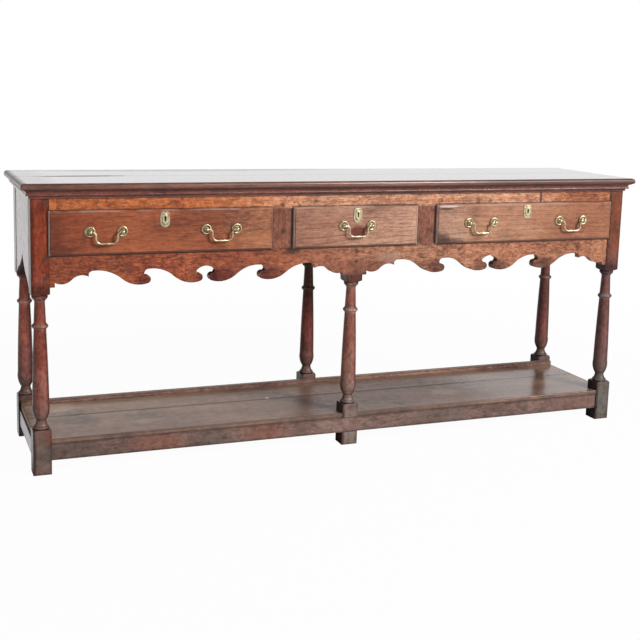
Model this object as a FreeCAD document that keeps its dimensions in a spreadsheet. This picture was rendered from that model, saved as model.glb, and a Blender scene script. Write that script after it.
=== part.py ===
import FreeCAD, Part
import math
import os
from types import SimpleNamespace

V = FreeCAD.Vector

# Driving sizes in millimetres: name, value, what it measures.
SIZES = (
    ("frame_length", 1960, "over the outer faces of the corner posts"),
    ("frame_depth", 420, "from the front to the back faces of the posts"),
    ("top_height", 840, "floor to the upper face of the top"),
    ("post_size", 52, "side of the square billet of every post"),
    ("top_thick", 18, "thickness of the top planks"),
    ("top_front_over", 27, "top past the front posts"),
    ("top_end_over", 27, "top past the end posts"),
    ("top_back_over", 5, "top past the back posts"),
    ("top_joint_depth", 232, "front edge of the top to the joint of its planks"),
    ("top_joint_gap", 0.8, "shrinkage gap between the top planks"),
    ("nose_upper_radius", 9, "upper round of the nosed edge"),
    ("nose_lower_radius", 6, "lower round of the nosed edge"),
    ("cornice_height", 25, "height of the cornice moulding"),
    ("cornice_reach", 20, "how far the cornice stands out under the top"),
    ("cornice_flat", 2, "upright edge over the hollow"),
    ("cornice_hollow", 9, "radius of the hollow"),
    ("cornice_bead", 2.6, "radius of the bead under the hollow"),
    ("cornice_foot", 5, "stand-out of the lowest fillet"),
    ("frieze_height", 64, "height of the rail over the drawers"),
    ("rail_thick", 26, "thickness of the frieze rail"),
    ("opening_height", 119, "height of the drawer openings"),
    ("centre_opening", 408, "width of the centre drawer opening"),
    ("muntin_width", 74, "width of the uprights between drawers"),
    ("apron_thick", 24, "thickness of the apron and muntins"),
    ("apron_depth", 95, "drawer opening to the lowest scroll of the apron"),
    ("apron_step_rise", 2, "end steps of the apron above its lowest scroll"),
    ("apron_step_width", 13.5, "width of the end steps beside the posts"),
    ("scroll_arch_rise", 46, "crown of the scroll arches above the lowest scroll"),
    ("centre_arch_rise", 48.5, "crown of the bay's middle arch above the lowest scroll"),
    ("centre_arch_radius", 37, "radius of the bay's middle arch"),
    ("centre_notch", 29, "middle of the bay to the notch of the inner hook"),
    ("scroll_difference", 4, "outer scroll of a half bay longer than the inner one"),
    ("hook_lobe_shift", 12.5, "notch of a hook to the bottom of its lobe"),
    ("hook_arch_back", 24, "outer notch back to the crown of its arch"),
    ("hook_tip_radius", 12, "round tip of a hook"),
    ("hook_tip_rise", 15, "centre of the tip above the lowest scroll"),
    ("hook_lobe_radius", 80, "lobe that runs into the tip"),
    ("curl_radius", 14, "tight curl that ends an arch"),
    ("cusp_from_post", 108, "cusp to the post beside it"),
    ("ogee_top_from_post", 89, "crown of the ogee next to the cusp to the post"),
    ("ogee_low_from_post", 32, "lowest point of the ogee to the post"),
    ("ogee_top_rise", 34, "crown of that ogee above the lowest scroll"),
    ("ogee_low_rise", 10, "low point of that ogee above the lowest scroll"),
    ("panel_thick", 18, "thickness of the end panels"),
    ("panel_set_back", 1, "end panel behind the outer faces of the posts"),
    ("panel_foot_rise", 2, "ends of the end panel's arch above the upper blocks"),
    ("panel_arch_rise", 86, "point of the arch above its ends"),
    ("panel_shoulder_run", 70, "length of the arch's lower curve"),
    ("panel_shoulder_rise", 35, "rise of the arch's lower curve"),
    ("panel_swell", 5, "bow of the arch's curves"),
    ("back_thick", 12, "thickness of the back board"),
    ("back_lap", 26, "back board's rebate in the corner posts"),
    ("back_low", 560, "floor to the lower edge of the back board"),
    ("tenon_thick", 9, "thickness of the tenons"),
    ("tenon_length", 32, "length of the rail tenons"),
    ("tenon_set_in", 8, "face of a rail to its tenon"),
    ("tenon_shoulder", 7, "edge of a rail to its tenon"),
    ("tongue_length", 14, "tongues of the end panels and end rails"),
    ("stub_length", 16, "stub tenons of the muntins"),
    ("block_drop", 20, "upper blocks of the posts below the lowest scroll"),
    ("low_block_rise", 29, "lower blocks of the posts above the potboard"),
    ("shoulder_drop", 8, "turned shoulder at the block corners"),
    ("ring_radius", 23.5, "rings next to the blocks"),
    ("ring_height", 14, "height of the ring under an upper block"),
    ("foot_ring_height", 8, "height of the ring on a lower block"),
    ("ring_root_radius", 19, "root of those rings"),
    ("ring_waist", 1, "upper block to the ring under it"),
    ("ring_foot_radius", 16.6, "lower end of the ring under an upper block"),
    ("ring_fillet", 1.8, "small uprights beside the rings and the collar"),
    ("neck_radius", 14.8, "slimmest parts of the turning"),
    ("foot_neck_height", 25, "lower block to the slim neck over it"),
    ("belly_height", 72, "lower block to the widest part of the baluster"),
    ("belly_radius", 24, "widest part of the baluster"),
    ("collar_drop", 91, "upper block to the middle of the collar"),
    ("collar_radius", 23.5, "collar of the turning"),
    ("collar_height", 11, "height of the collar"),
    ("collar_root_radius", 17.5, "turning beside the collar"),
    ("cove_height", 6, "cove under the upper ring"),
    ("potrail_low", 41, "floor to the potboard rails"),
    ("potrail_height", 49, "height of the potboard rails"),
    ("potrail_thick", 24, "thickness of the potboard rails"),
    ("potrail_set_back", 3, "potboard rails behind the post faces"),
    ("board_thick", 14, "thickness of the potboard planks"),
    ("board_proud", 2, "planks past the front rail"),
    ("board_end_inset", 8, "plank ends inside the outer faces of the posts"),
    ("board_joint", 214, "front of the posts to the joint of the planks"),
    ("board_joint_gap", 1.2, "shrinkage gap between the potboard planks"),
    ("board_clear", 0.4, "planks clear of the posts"),
    ("board_round", 3, "round on the front edge of the planks"),
    ("board_back_inset", 6, "planks inside the back faces of the posts"),
    ("lath_rise", 14, "height of the lath at the back of the planks"),
    ("lath_thick", 20, "thickness of that lath"),
    ("lath_round", 2, "round on the front edge of the lath"),
    ("bearer_width", 40, "width of the cross bearer"),
    ("bearer_height", 30, "height of the cross bearer"),
    ("peg_radius", 6.5, "oak pegs"),
    ("peg_length", 34, "length of the pegs"),
    ("peg_proud", 0.8, "peg ends in front of the posts"),
    ("peg_clear", 0.1, "peg holes over the pegs"),
    ("peg_from_edge", 12, "pegs to the inner edge of the corner posts"),
    ("frieze_peg_drop", 37, "underside of the top to the upper pegs"),
    ("apron_peg_first", 13, "drawer opening to the first apron peg"),
    ("apron_peg_second", 66, "drawer opening to the second apron peg"),
    ("centre_peg_first", 18, "drawer opening to the first centre peg"),
    ("centre_peg_step", 32, "distance between the centre pegs"),
    ("centre_peg_shift", 4, "centre pegs beside the axis of the centre post"),
    ("runner_thick", 18, "thickness of the runners"),
    ("runner_ledge", 18, "width on which a drawer side runs"),
    ("guide_height", 21, "height of the guides over the runners"),
    ("lip_overlap", 4, "drawer lip over the frame"),
    ("lip_thick", 8, "thickness of the drawer lip"),
    ("lip_round", 7, "round of the drawer lip"),
    ("lip_gap", 0.3, "closed drawer lip to the frame"),
    ("field_inset", 5.5, "lip edge to the flat of the drawer front"),
    ("field_raise", 1, "flat of the drawer front over the lip"),
    ("core_thick", 14, "drawer front inside the opening"),
    ("drawer_side_clear", 1.5, "drawer to the sides of its opening"),
    ("drawer_top_clear", 1.5, "drawer front to the top of its opening"),
    ("drawer_slide_gap", 0.3, "drawer to its runners"),
    ("drawer_rear_gap", 18, "drawers to the posts behind them"),
    ("side_thick", 12, "thickness of the drawer sides"),
    ("side_top_drop", 5, "top of the opening to the drawer sides"),
    ("tail_length", 9, "dovetails of the sides into the front"),
    ("tail_root", 16, "width of a dovetail at its root"),
    ("tail_flare", 3, "flare of a dovetail on each side"),
    ("tail_pitch", 32, "distance between dovetails"),
    ("drawer_back_thick", 10, "thickness of the drawer backs"),
    ("drawer_back_drop", 8, "drawer sides to the top of the drawer back"),
    ("bottom_thick", 8, "thickness of the drawer bottoms"),
    ("bottom_rise", 7, "lower edge of the sides to the drawer bottom"),
    ("bottom_groove", 5, "depth of the groove for the drawer bottom"),
    ("handle_spread", 169, "middle of a wide drawer to its handles"),
    ("handle_rise", 3.5, "middle of the opening to the handle pins"),
    ("handle_centres", 92, "between the two posts of a handle"),
    ("rose_radius", 16, "round rose of a handle"),
    ("rose_rim", 4.2, "height of the rim of a rose"),
    ("rose_dish", 1.4, "height of the dished part of a rose"),
    ("rose_boss_radius", 6, "boss of a rose"),
    ("rose_boss", 4.5, "height of the boss of a rose"),
    ("stem_radius", 2.5, "stem of a handle post"),
    ("stem_clear", 0.2, "stem holes over the stems"),
    ("head_radius", 5.6, "ball head of a handle post"),
    ("head_reach", 12, "flat of the drawer front to the ball centres"),
    ("nut_size", 10, "side of the square nuts"),
    ("nut_thick", 4, "thickness of the nuts"),
    ("pin_radius", 1.75, "pins of a bail"),
    ("pin_clear", 0.06, "pin holes over the pins"),
    ("pin_depth", 1.5, "pins past the middle of the ball heads"),
    ("bail_clear", 0.7, "bail to the ball heads"),
    ("bail_radius", 3, "wire of a bail"),
    ("bail_turn", 9, "radius of the swan neck"),
    ("bail_corner", 15, "radius of the lower corners of a bail"),
    ("bail_swell", 0.7, "swelling of the lower bar"),
    ("bail_drop", 33, "pins to the middle of the lower bar"),
    ("plate_width", 29, "width of an escutcheon"),
    ("plate_height", 46, "height of an escutcheon"),
    ("plate_thick", 1.8, "thickness of an escutcheon"),
    ("plate_corner", 8.5, "upper corners of an escutcheon"),
    ("plate_round", 1.2, "round on the front edge of an escutcheon"),
    ("plate_top_gap", 0.5, "escutcheon below the edge of the flat"),
    ("boss_width", 16, "raised oval of an escutcheon"),
    ("boss_height", 31, "height of that oval"),
    ("boss_raise", 2.4, "rise of that oval"),
    ("keyhole_drop", 16, "top of an escutcheon to the eye of the keyhole"),
    ("keyhole_eye", 3.4, "radius of the keyhole's eye"),
    ("keyhole_slot", 4.8, "width of the keyhole's slot"),
    ("keyhole_length", 11, "eye to the end of the slot"),
    ("lock_width", 64, "width of a lock case"),
    ("lock_height", 44, "height of a lock case"),
    ("lock_thick", 12, "thickness of a lock case"),
    ("lock_recess", 7, "lock case let into the drawer front"),
    ("bolt_width", 20, "width of a lock bolt"),
    ("bolt_thick", 5, "thickness of a lock bolt"),
    ("bolt_height", 32, "height of a lock bolt"),
    ("bolt_cover", 3.5, "lock case over the front of the bolt"),
    ("bolt_clear", 0.3, "lock bolt in its case"),
    ("bolt_mortise", 12, "depth of the mortises for the bolts"),
    ("mortise_clear", 1.2, "mortise over the bolt"),
)


class Size:
    """A length as formula text for the document and as a value for drawing."""

    def __init__(self, text, value):
        self.text = text
        self.value = value

    @staticmethod
    def of(other):
        return other if isinstance(other, Size) else Size(repr(float(other)), float(other))

    def __add__(self, other):
        other = Size.of(other)
        return Size(f"({self.text} + {other.text})", self.value + other.value)

    def __sub__(self, other):
        other = Size.of(other)
        return Size(f"({self.text} - {other.text})", self.value - other.value)

    def __mul__(self, factor):
        factor = Size.of(factor)
        return Size(f"({self.text} * {factor.text})", self.value * factor.value)

    def __truediv__(self, factor):
        return self * (1.0 / factor)

    def __neg__(self):
        return self * -1.0

    def __float__(self):
        return self.value

    __radd__ = __add__
    __rmul__ = __mul__


doc = FreeCAD.newDocument("potboard_dresser")
sheet = doc.addObject("Spreadsheet::Sheet", "dims")
for row, (name, value, note) in enumerate(SIZES, start=1):
    sheet.set(f"A{row}", note)
    sheet.set(f"B{row}", str(value))
    sheet.setAlias(f"B{row}", name)
doc.recompute()
d = SimpleNamespace(**{name: Size(f"dims.{name}", float(sheet.get(name))) for name, _, _ in SIZES})

# Planes of the frame: x to the right, y to the back, z up from the floor.
front = (d.top_front_over - d.frame_depth - d.top_back_over) / 2
back = front + d.frame_depth
end = d.frame_length / 2
post_in = end - d.post_size
post_back = front + d.post_size
rear_post_front = back - d.post_size
carcass_top = d.top_height - d.top_thick
opening_top = carcass_top - d.frieze_height
opening_low = opening_top - d.opening_height
apron_low = opening_low - d.apron_depth
step_low = apron_low + d.apron_step_rise
block_low = apron_low - d.block_drop
apron_back = front + d.apron_thick
potrail_top = d.potrail_low + d.potrail_height
board_top = potrail_top + d.board_thick
low_block_top = board_top + d.low_block_rise
lath_front = rear_post_front - d.lath_thick
centre_half = d.centre_opening / 2
muntin_out = centre_half + d.muntin_width
outer_opening = post_in - muntin_out
outer_middle = (post_in + muntin_out) / 2
panel_out = end - d.panel_set_back
panel_in = panel_out - d.panel_thick
field_plane = front - d.lip_gap - d.lip_thick - d.field_raise
core_back = front + d.core_thick
drawer_rear = rear_post_front - d.drawer_rear_gap
handle_z = (opening_top + opening_low) / 2 + d.handle_rise
pin_plane = field_plane - d.head_reach
plate_top = opening_top + d.lip_overlap - d.field_inset - d.plate_top_gap
keyhole_z = plate_top - d.keyhole_drop
lock_top = opening_top - d.drawer_top_clear

nodes = []


def node(label, piece):
    """Name a finished piece as one of the exported nodes."""
    piece.Label = label
    nodes.append(piece)
    return piece


def bind(piece, prop, length):
    piece.setExpression(prop, Size.of(length).text)


def place(piece, x=0.0, y=0.0, z=0.0):
    for axis, length in zip("xyz", (x, y, z)):
        bind(piece, f"Placement.Base.{axis}", length)
    return piece


def board(x, y, z):
    """Rectangular stuff between three pairs of limits."""
    piece = doc.addObject("Part::Box", "board")
    for prop, (low, high) in zip(("Length", "Width", "Height"), (x, y, z)):
        bind(piece, prop, high - low)
    return place(piece, x[0], y[0], z[0])


def span(low, length):
    return low, low + length


def about(middle, width):
    return middle - width / 2, middle + width / 2


def fuse(*pieces):
    piece = doc.addObject("Part::MultiFuse", "joined")
    piece.Shapes = list(pieces)
    piece.Refine = True
    return piece


def group(*pieces):
    piece = doc.addObject("Part::Compound", "group")
    piece.Links = list(pieces)
    return piece


def cut(base, *tools):
    piece = doc.addObject("Part::Cut", "cut")
    piece.Base = base
    piece.Tool = tools[0] if len(tools) == 1 else group(*tools)
    piece.Refine = True
    return piece


def rod(radius, length, x, y, z, direction):
    """Round bar that starts at a point and runs along a direction."""
    piece = doc.addObject("Part::Cylinder", "rod")
    bind(piece, "Radius", radius)
    bind(piece, "Height", length)
    piece.Placement.Rotation = FreeCAD.Rotation(V(0, 0, 1), direction)
    return place(piece, x, y, z)


def rounded(base, radius_of_edge):
    """Round the edges for which radius_of_edge(middle point, direction) gives a radius."""
    doc.recompute()
    edges = []
    for number, edge in enumerate(base.Shape.Edges, start=1):
        middle = edge.valueAt((edge.FirstParameter + edge.LastParameter) / 2)
        radius = radius_of_edge(middle, edge.tangentAt(edge.FirstParameter))
        if radius:
            edges.append((number, float(radius), float(radius)))
    piece = doc.addObject("Part::Fillet", "rounded")
    piece.Base = base
    piece.Edges = edges
    return piece


def near(first, second):
    return abs(first - float(second)) < 0.01


def outline(start, steps):
    """Closed run of lines and arcs; a step is an end point, or a middle and an end point."""
    curves = []
    here = start
    for step in list(steps) + [(start,)]:
        target = step[-1]
        if math.dist(here, target) < 1e-6:
            continue
        if len(step) == 1:
            curves.append(Part.LineSegment(V(*here), V(*target)))
        else:
            curves.append(Part.Arc(V(*here), V(*step[0]), V(*target)))
        here = target
    return curves


def flat(point):
    return float(point[0]), float(point[1]), 0.0


def drawn(curves, turn=None):
    """Free sketch of an outline, turned from the floor plane."""
    sketch = doc.addObject("Sketcher::SketchObject", "outline")
    sketch.addGeometry(curves, False)
    if turn is not None:
        sketch.Placement.Rotation = turn
    return sketch


UPRIGHT_FRONT = FreeCAD.Rotation(V(1, 0, 0), 90)
UPRIGHT_END = FreeCAD.Rotation(V(1, 1, 1), 120)


def body_sketch(body, role, curves, offset=0.0):
    """Sketch of an outline on one of a body's own planes, moved along its normal."""
    sketch = body.newObject("Sketcher::SketchObject", "outline")
    plane = next(item for item in body.Origin.OriginFeatures if item.Role == role)
    sketch.AttachmentSupport = [(plane, "")]
    sketch.MapMode = "FlatFace"
    bind(sketch, "AttachmentOffset.Base.z", offset)
    sketch.addGeometry(curves, False)
    return sketch


def pad(body, sketch, length, reverse=False):
    feature = body.newObject("PartDesign::Pad", "pad")
    feature.Profile = sketch
    feature.Reversed = reverse
    bind(feature, "Length", length)
    return feature


def on_circle(centre, radius, degrees):
    turn = math.radians(degrees)
    return centre[0] + radius * math.cos(turn), centre[1] + radius * math.sin(turn)


def arc_step(centre, radius, first, last):
    """Middle and end point of an arc from a first to a last angle in degrees."""
    return on_circle(centre, radius, (first + last) / 2), on_circle(centre, radius, last)


def angle_to(origin, target):
    return math.degrees(math.atan2(target[1] - origin[1], target[0] - origin[0]))


# Posts


def turning():
    """Lathe profile of a post as radius and height; the blocks lie outside the square billet."""
    clear = float(d.post_size) * 0.8
    low, high, drop = float(low_block_top), float(block_low), float(d.shoulder_drop)
    ring, root, tall = float(d.ring_radius), float(d.ring_root_radius), float(d.ring_height)
    foot, fillet, ring_foot = float(d.foot_ring_height), float(d.ring_fillet), float(d.ring_foot_radius)
    neck, belly, collar = float(d.neck_radius), float(d.belly_radius), float(d.collar_radius)
    collar_root, collar_half = float(d.collar_root_radius), float(d.collar_height) / 2
    collar_step, collar_end = collar_root + fillet, collar_half + fillet
    neck_z = low + float(d.foot_neck_height)
    belly_z = low + float(d.belly_height)
    collar_z = high - float(d.collar_drop)
    ring_high = high - float(d.ring_waist)
    ring_low = ring_high - tall
    cove_low = ring_low - float(d.cove_height)
    swell = (belly + collar_root) / 2 + (belly - collar_root) * 0.12
    steps = [
        ((clear, 0.0),),
        ((clear, low - drop),),
        (((clear + ring) / 2 + 1.0, low - drop / 4), (ring, low)),
        ((root, low),),
        ((ring, low + foot / 2), (root, low + foot)),
        ((root, low + foot + fillet),),
        ((neck + (root - neck) * 0.24, (low + foot + fillet + neck_z) / 2), (neck, neck_z)),
        (((neck + belly) / 2 + 2.2, neck_z + (belly_z - neck_z) * 0.3), (belly, belly_z)),
        ((swell, (belly_z + collar_z) / 2), (collar_root, collar_z - collar_end)),
        ((collar_step, collar_z - collar_end),),
        ((collar_step, collar_z - collar_half),),
        ((collar, collar_z), (collar_step, collar_z + collar_half)),
        ((collar_step, collar_z + collar_end),),
        ((collar_root, collar_z + collar_end),),
        ((neck, cove_low),),
        ((neck + (ring_foot - neck) * 0.3, (cove_low + ring_low - fillet) / 2), (ring_foot, ring_low - fillet)),
        ((ring_foot, ring_low),),
        ((ring - (ring - ring_foot) * 0.1, ring_low + tall / 2), (ring - (ring - root) / 3, ring_high)),
        ((root, ring_high),),
        ((root, high),),
        ((ring, high),),
        (((clear + ring) / 2 + 1.0, high + drop / 4), (clear, high + drop)),
        ((clear, float(carcass_top) + 1.0),),
        ((0.0, float(carcass_top) + 1.0),),
    ]
    points = [tuple((p[0], p[1], 0.0) for p in step) for step in steps]
    return outline((0.0, 0.0, 0.0), points)


def billet(x, y, top):
    """Post turned from a square billet about its own axis."""
    lathe = doc.addObject("Part::Revolution", "turning")
    lathe.Source = drawn(turning(), UPRIGHT_FRONT)
    lathe.Axis = V(0, 0, 1)
    lathe.Angle = 360
    lathe.Solid = True
    place(lathe, x, y)
    square = board(about(x, d.post_size), about(y, d.post_size), span(Size.of(0), top))
    post = doc.addObject("Part::Common", "post")
    post.Base = square
    post.Tool = lathe
    return post


def mirrored(limits, side):
    """Limits on the right as they are, and on the left mirrored."""
    low, high = limits
    return (low, high) if side > 0 else (-high, -low)


def frieze_tenon(side):
    return board(mirrored(span(post_in, d.tenon_length), side),
                 span(front + d.tenon_set_in, d.tenon_thick),
                 (opening_top + d.tenon_shoulder, carcass_top - d.tenon_shoulder * 2))


def apron_tenon(side):
    return board(mirrored(span(post_in, d.tenon_length), side),
                 span(front + d.tenon_set_in, d.tenon_thick),
                 (step_low + d.tenon_shoulder * 2, opening_low - d.tenon_shoulder))


def potrail_tenon(side, rail_y):
    return board(mirrored(span(post_in, d.tenon_length), side), span(rail_y[0] + d.tenon_set_in, d.tenon_thick),
                 (d.potrail_low + d.tenon_shoulder, potrail_top - d.tenon_shoulder))


def front_rail_y():
    return span(front + d.potrail_set_back, d.potrail_thick)


def back_rail_y():
    return back - d.potrail_set_back - d.potrail_thick, back - d.potrail_set_back


def panel_tongue(side, y):
    inset = (d.panel_thick - d.tenon_thick) / 2
    return board(mirrored((panel_in + inset, panel_out - inset), side), y,
                 (opening_low - d.tenon_shoulder * 2, carcass_top - d.tenon_shoulder * 2))


def end_rail_tongue(side, y):
    middle = end - d.potrail_set_back - d.potrail_thick / 2
    return board(mirrored(about(middle, d.tenon_thick), side), y,
                 (d.potrail_low + d.tenon_shoulder, potrail_top - d.tenon_shoulder))


def front_tongue_y():
    return post_back - d.tongue_length, post_back


def rear_tongue_y():
    return rear_post_front, rear_post_front + d.tongue_length


def peg(x, z, extra=0.0):
    """Peg, or with extra its hole."""
    return rod(d.peg_radius + extra, d.peg_length, x, front - d.peg_proud, z, V(0, 1, 0))


def corner_peg_places():
    heights = (carcass_top - d.frieze_peg_drop, opening_low - d.apron_peg_first,
               opening_low - d.apron_peg_second)
    return [((post_in + d.peg_from_edge) * side, z) for side in (-1, 1) for z in heights]


def centre_peg_places():
    first = opening_low - d.centre_peg_first
    return [(Size.of(0) + d.centre_peg_shift, first - d.centre_peg_step * step) for step in range(3)]


def peg_holes(places):
    return [peg(x, z, d.peg_clear) for x, z in places]


def on_side(places, side):
    return [(x, z) for x, z in places if float(x) * side > 0]


def back_board():
    low, high = -(end - d.back_lap), end - d.back_lap
    return board((low, high), (back - d.back_thick, back), (d.back_low, carcass_top))


def apron_pass():
    """Room in the centre post for the apron that runs past its face."""
    return board(about(Size.of(0), d.post_size * 2), (front - d.post_size, apron_back),
                 (step_low, opening_low))


def potrail_pass(y):
    """Room in a centre post for the potboard rail that runs past it."""
    return board(about(Size.of(0), d.post_size * 2), y, (d.potrail_low, potrail_top))


def bearer_tongue(y):
    return board(about(Size.of(0), d.tenon_thick), y,
                 (potrail_top - d.bearer_height + d.tenon_shoulder, potrail_top - d.tenon_shoulder))


def build_posts():
    for side, word in ((-1, "left"), (1, "right")):
        x = (end - d.post_size / 2) * side
        holes = peg_holes(on_side(corner_peg_places(), side))
        node(f"front_post_{word}",
             cut(billet(x, front + d.post_size / 2, carcass_top), frieze_tenon(side), apron_tenon(side),
                 potrail_tenon(side, front_rail_y()), panel_tongue(side, front_tongue_y()),
                 end_rail_tongue(side, front_tongue_y()), *holes))
        node(f"back_post_{word}",
             cut(billet(x, back - d.post_size / 2, carcass_top), potrail_tenon(side, back_rail_y()),
                 panel_tongue(side, rear_tongue_y()), end_rail_tongue(side, rear_tongue_y()), back_board()))
    node("front_post_centre",
         cut(billet(Size.of(0), front + d.post_size / 2, opening_low), apron_pass(),
             potrail_pass((front - d.post_size, front_rail_y()[1])), bearer_tongue(front_tongue_y()),
             *peg_holes(centre_peg_places())))
    node("back_post_centre",
         cut(billet(Size.of(0), back - d.post_size / 2, carcass_top), back_board(),
             potrail_pass((back_rail_y()[0], back + d.post_size)), bearer_tongue(rear_tongue_y())))


# Upper frame


def drawers():
    """Name, middle and opening width of each drawer."""
    return (("left", -outer_middle, outer_opening), ("centre", Size.of(0), d.centre_opening),
            ("right", outer_middle, outer_opening))


def bolt_plane():
    return span(core_back - d.lock_recess + d.bolt_cover, d.bolt_thick)


def bolt_mortise(middle):
    low, high = bolt_plane()
    return board(about(middle, d.bolt_width + d.mortise_clear * 2),
                 (low - d.mortise_clear, high + d.mortise_clear), span(opening_top, d.bolt_mortise))


def muntin_stub(side, z):
    middle = centre_half + d.muntin_width / 2
    return board(mirrored(about(middle, d.muntin_width - d.tenon_shoulder * 2), side),
                 span(front + d.tenon_set_in, d.tenon_thick), z)


def upper_stub(side):
    return muntin_stub(side, span(opening_top, d.stub_length))


def lower_stub(side):
    return muntin_stub(side, (opening_low - d.stub_length, opening_low))


def build_frieze_and_muntins():
    rail = fuse(board((-post_in, post_in), span(front, d.rail_thick), (opening_top, carcass_top)),
                frieze_tenon(-1), frieze_tenon(1))
    mortises = [bolt_mortise(middle) for _, middle, _ in drawers()]
    holes = peg_holes(corner_peg_places()[::3])
    node("frieze_rail", cut(rail, upper_stub(-1), upper_stub(1), *mortises, *holes))
    for side, word in ((-1, "left"), (1, "right")):
        upright = board(mirrored((centre_half, muntin_out), side), (front, apron_back),
                        (opening_low, opening_top))
        node(f"muntin_{word}", fuse(upright, upper_stub(side), lower_stub(side)))


def half_bay_edge(half_bay):
    """Lower edge of the apron from the middle of a bay (u = 0) to the post, as outline steps.

    Two scrolls share the run from the centre notch to the cusp, the outer one a little longer.
    Every arch runs into a lobe or the other way round through a tangent point, so the sum of
    their radii is (run^2 + rise^2) / (2 rise); a hook's tip touches its lobe from inside.
    """
    low = float(apron_low)
    crown = low + float(d.scroll_arch_rise)
    lobe, tip = float(d.hook_lobe_radius), float(d.hook_tip_radius)
    tip_rise, curl = float(d.hook_tip_rise), float(d.curl_radius)
    arch = float(d.centre_arch_radius)
    notch = float(d.centre_notch)
    arch_middle = (0.0, low + float(d.centre_arch_rise) - arch)
    steps = [arc_step(arch_middle, arch, 90, math.degrees(math.acos(notch / arch)))]
    cusp = half_bay - float(d.cusp_from_post)
    cusp_turn = 25
    cusp_curl_u = cusp - curl * math.cos(math.radians(cusp_turn))
    back_run = float(d.hook_arch_back) - curl
    outer = (notch + cusp - float(d.scroll_difference)) / 2
    for hook, curl_u, curl_end in ((notch, outer - curl, 0), (outer, cusp_curl_u, cusp_turn)):
        lobe_middle = (hook + float(d.hook_lobe_shift), low + lobe)
        reach = math.sqrt((lobe - tip) ** 2 - (lobe - tip_rise) ** 2)
        tip_middle = (lobe_middle[0] - reach, low + tip_rise)
        touch = angle_to(lobe_middle, tip_middle) % 360
        steps.append((on_circle(tip_middle, tip, 75),))
        steps.append(arc_step(tip_middle, tip, 75, touch))
        run = curl_u - back_run - lobe_middle[0]
        rise = crown - low
        upper = (run ** 2 + rise ** 2) / (2 * rise) - lobe
        upper_middle = (curl_u - back_run, crown - upper)
        turn = angle_to(lobe_middle, upper_middle) % 360
        steps.append(arc_step(lobe_middle, lobe, touch, turn))
        curl_start = math.degrees(math.acos(back_run / (upper - curl)))
        curl_middle = on_circle(upper_middle, upper - curl, curl_start)
        steps.append(arc_step(upper_middle, upper, turn - 180, curl_start))
        steps.append(arc_step(curl_middle, curl, curl_start, curl_end))
    top = (half_bay - float(d.ogee_top_from_post), low + float(d.ogee_top_rise))
    bottom = (half_bay - float(d.ogee_low_from_post), low + float(d.ogee_low_rise))
    run, rise = bottom[0] - top[0], top[1] - bottom[1]
    radius = (run ** 2 + rise ** 2) / (4 * rise)
    top_middle = (top[0], top[1] - radius)
    bottom_middle = (bottom[0], bottom[1] + radius)
    first = math.degrees(math.acos((cusp - top[0]) / radius))
    meet = angle_to(top_middle, bottom_middle)
    step_u = half_bay - float(d.apron_step_width)
    last = -math.degrees(math.acos((step_u - bottom[0]) / radius))
    steps.append((on_circle(top_middle, radius, first),))
    steps.append(arc_step(top_middle, radius, first, meet))
    steps.append(arc_step(bottom_middle, radius, meet - 180, last))
    steps.append(((step_u, float(step_low)),))
    steps.append(((half_bay, float(step_low)),))
    return (0.0, low + float(d.centre_arch_rise)), steps


def turned_round(start, steps):
    """The same run of steps walked from its end to its start."""
    ends = [start] + [step[-1] for step in steps]
    walked = [step[:-1] + (before,) for step, before in zip(steps, ends)]
    return ends[-1], walked[::-1]


def bay_steps(middle, half_bay):
    """Lower edge of one bay from left to right."""
    start, steps = half_bay_edge(half_bay)
    far, inward = turned_round(start, steps)
    left = [tuple((middle - u, z) for u, z in step) for step in [(far,)] + inward]
    right = [tuple((middle + u, z) for u, z in step) for step in steps]
    return left + right


def build_apron():
    bay_out, bay_in = float(post_in), float(d.post_size) / 2
    middle, half_bay = (bay_out + bay_in) / 2, (bay_out - bay_in) / 2
    steps = bay_steps(-middle, half_bay) + bay_steps(middle, half_bay)
    steps += [((bay_out, float(opening_low)),)]
    curves = outline((-bay_out, float(opening_low), 0.0),
                     [tuple((x, z, 0.0) for x, z in step) for step in steps])
    body = doc.addObject("PartDesign::Body", "apron_board")
    pad(body, body_sketch(body, "XZ_Plane", curves), d.apron_thick, reverse=True)
    place(body, y=front)
    holes = [hole for index, hole in enumerate(peg_holes(corner_peg_places())) if index % 3]
    node("apron", cut(fuse(body, apron_tenon(-1), apron_tenon(1)), lower_stub(-1), lower_stub(1),
                      *holes, *peg_holes(centre_peg_places())))


def build_end_panels():
    """End panel with a pointed arch of two curves on each side in its lower edge."""
    near_y, far_y = float(post_back), float(rear_post_front)
    middle = (near_y + far_y) / 2
    foot = float(block_low) + float(d.panel_foot_rise)
    run, rise = float(d.panel_shoulder_run), float(d.panel_shoulder_rise)
    point = (middle, foot + float(d.panel_arch_rise))
    bow = float(d.panel_swell)
    shoulder = (near_y + run, foot + rise)
    shoulder_mid = (near_y + run / 2 - bow / 2, foot + rise / 2 + bow)
    upper_mid = ((shoulder[0] + middle) / 2 + bow / 2, (shoulder[1] + point[1]) / 2 - bow)
    rising = [(shoulder_mid, shoulder), (upper_mid, point)]
    start, falling = turned_round((near_y, foot), rising)
    falling = [tuple((2 * middle - y, z) for y, z in step) for step in falling]
    steps = [((near_y, foot),)] + rising + falling + [((far_y, float(carcass_top)),)]
    curves = outline((near_y, float(carcass_top), 0.0),
                     [tuple((y, z, 0.0) for y, z in step) for step in steps])
    for side, word in ((-1, "left"), (1, "right")):
        body = doc.addObject("PartDesign::Body", "panel_board")
        pad(body, body_sketch(body, "YZ_Plane", curves), d.panel_thick)
        place(body, x=panel_in if side > 0 else -panel_out)
        tongues = [panel_tongue(side, y) for y in (front_tongue_y(), rear_tongue_y())]
        node(f"end_panel_{word}", fuse(body, *tongues))


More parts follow.
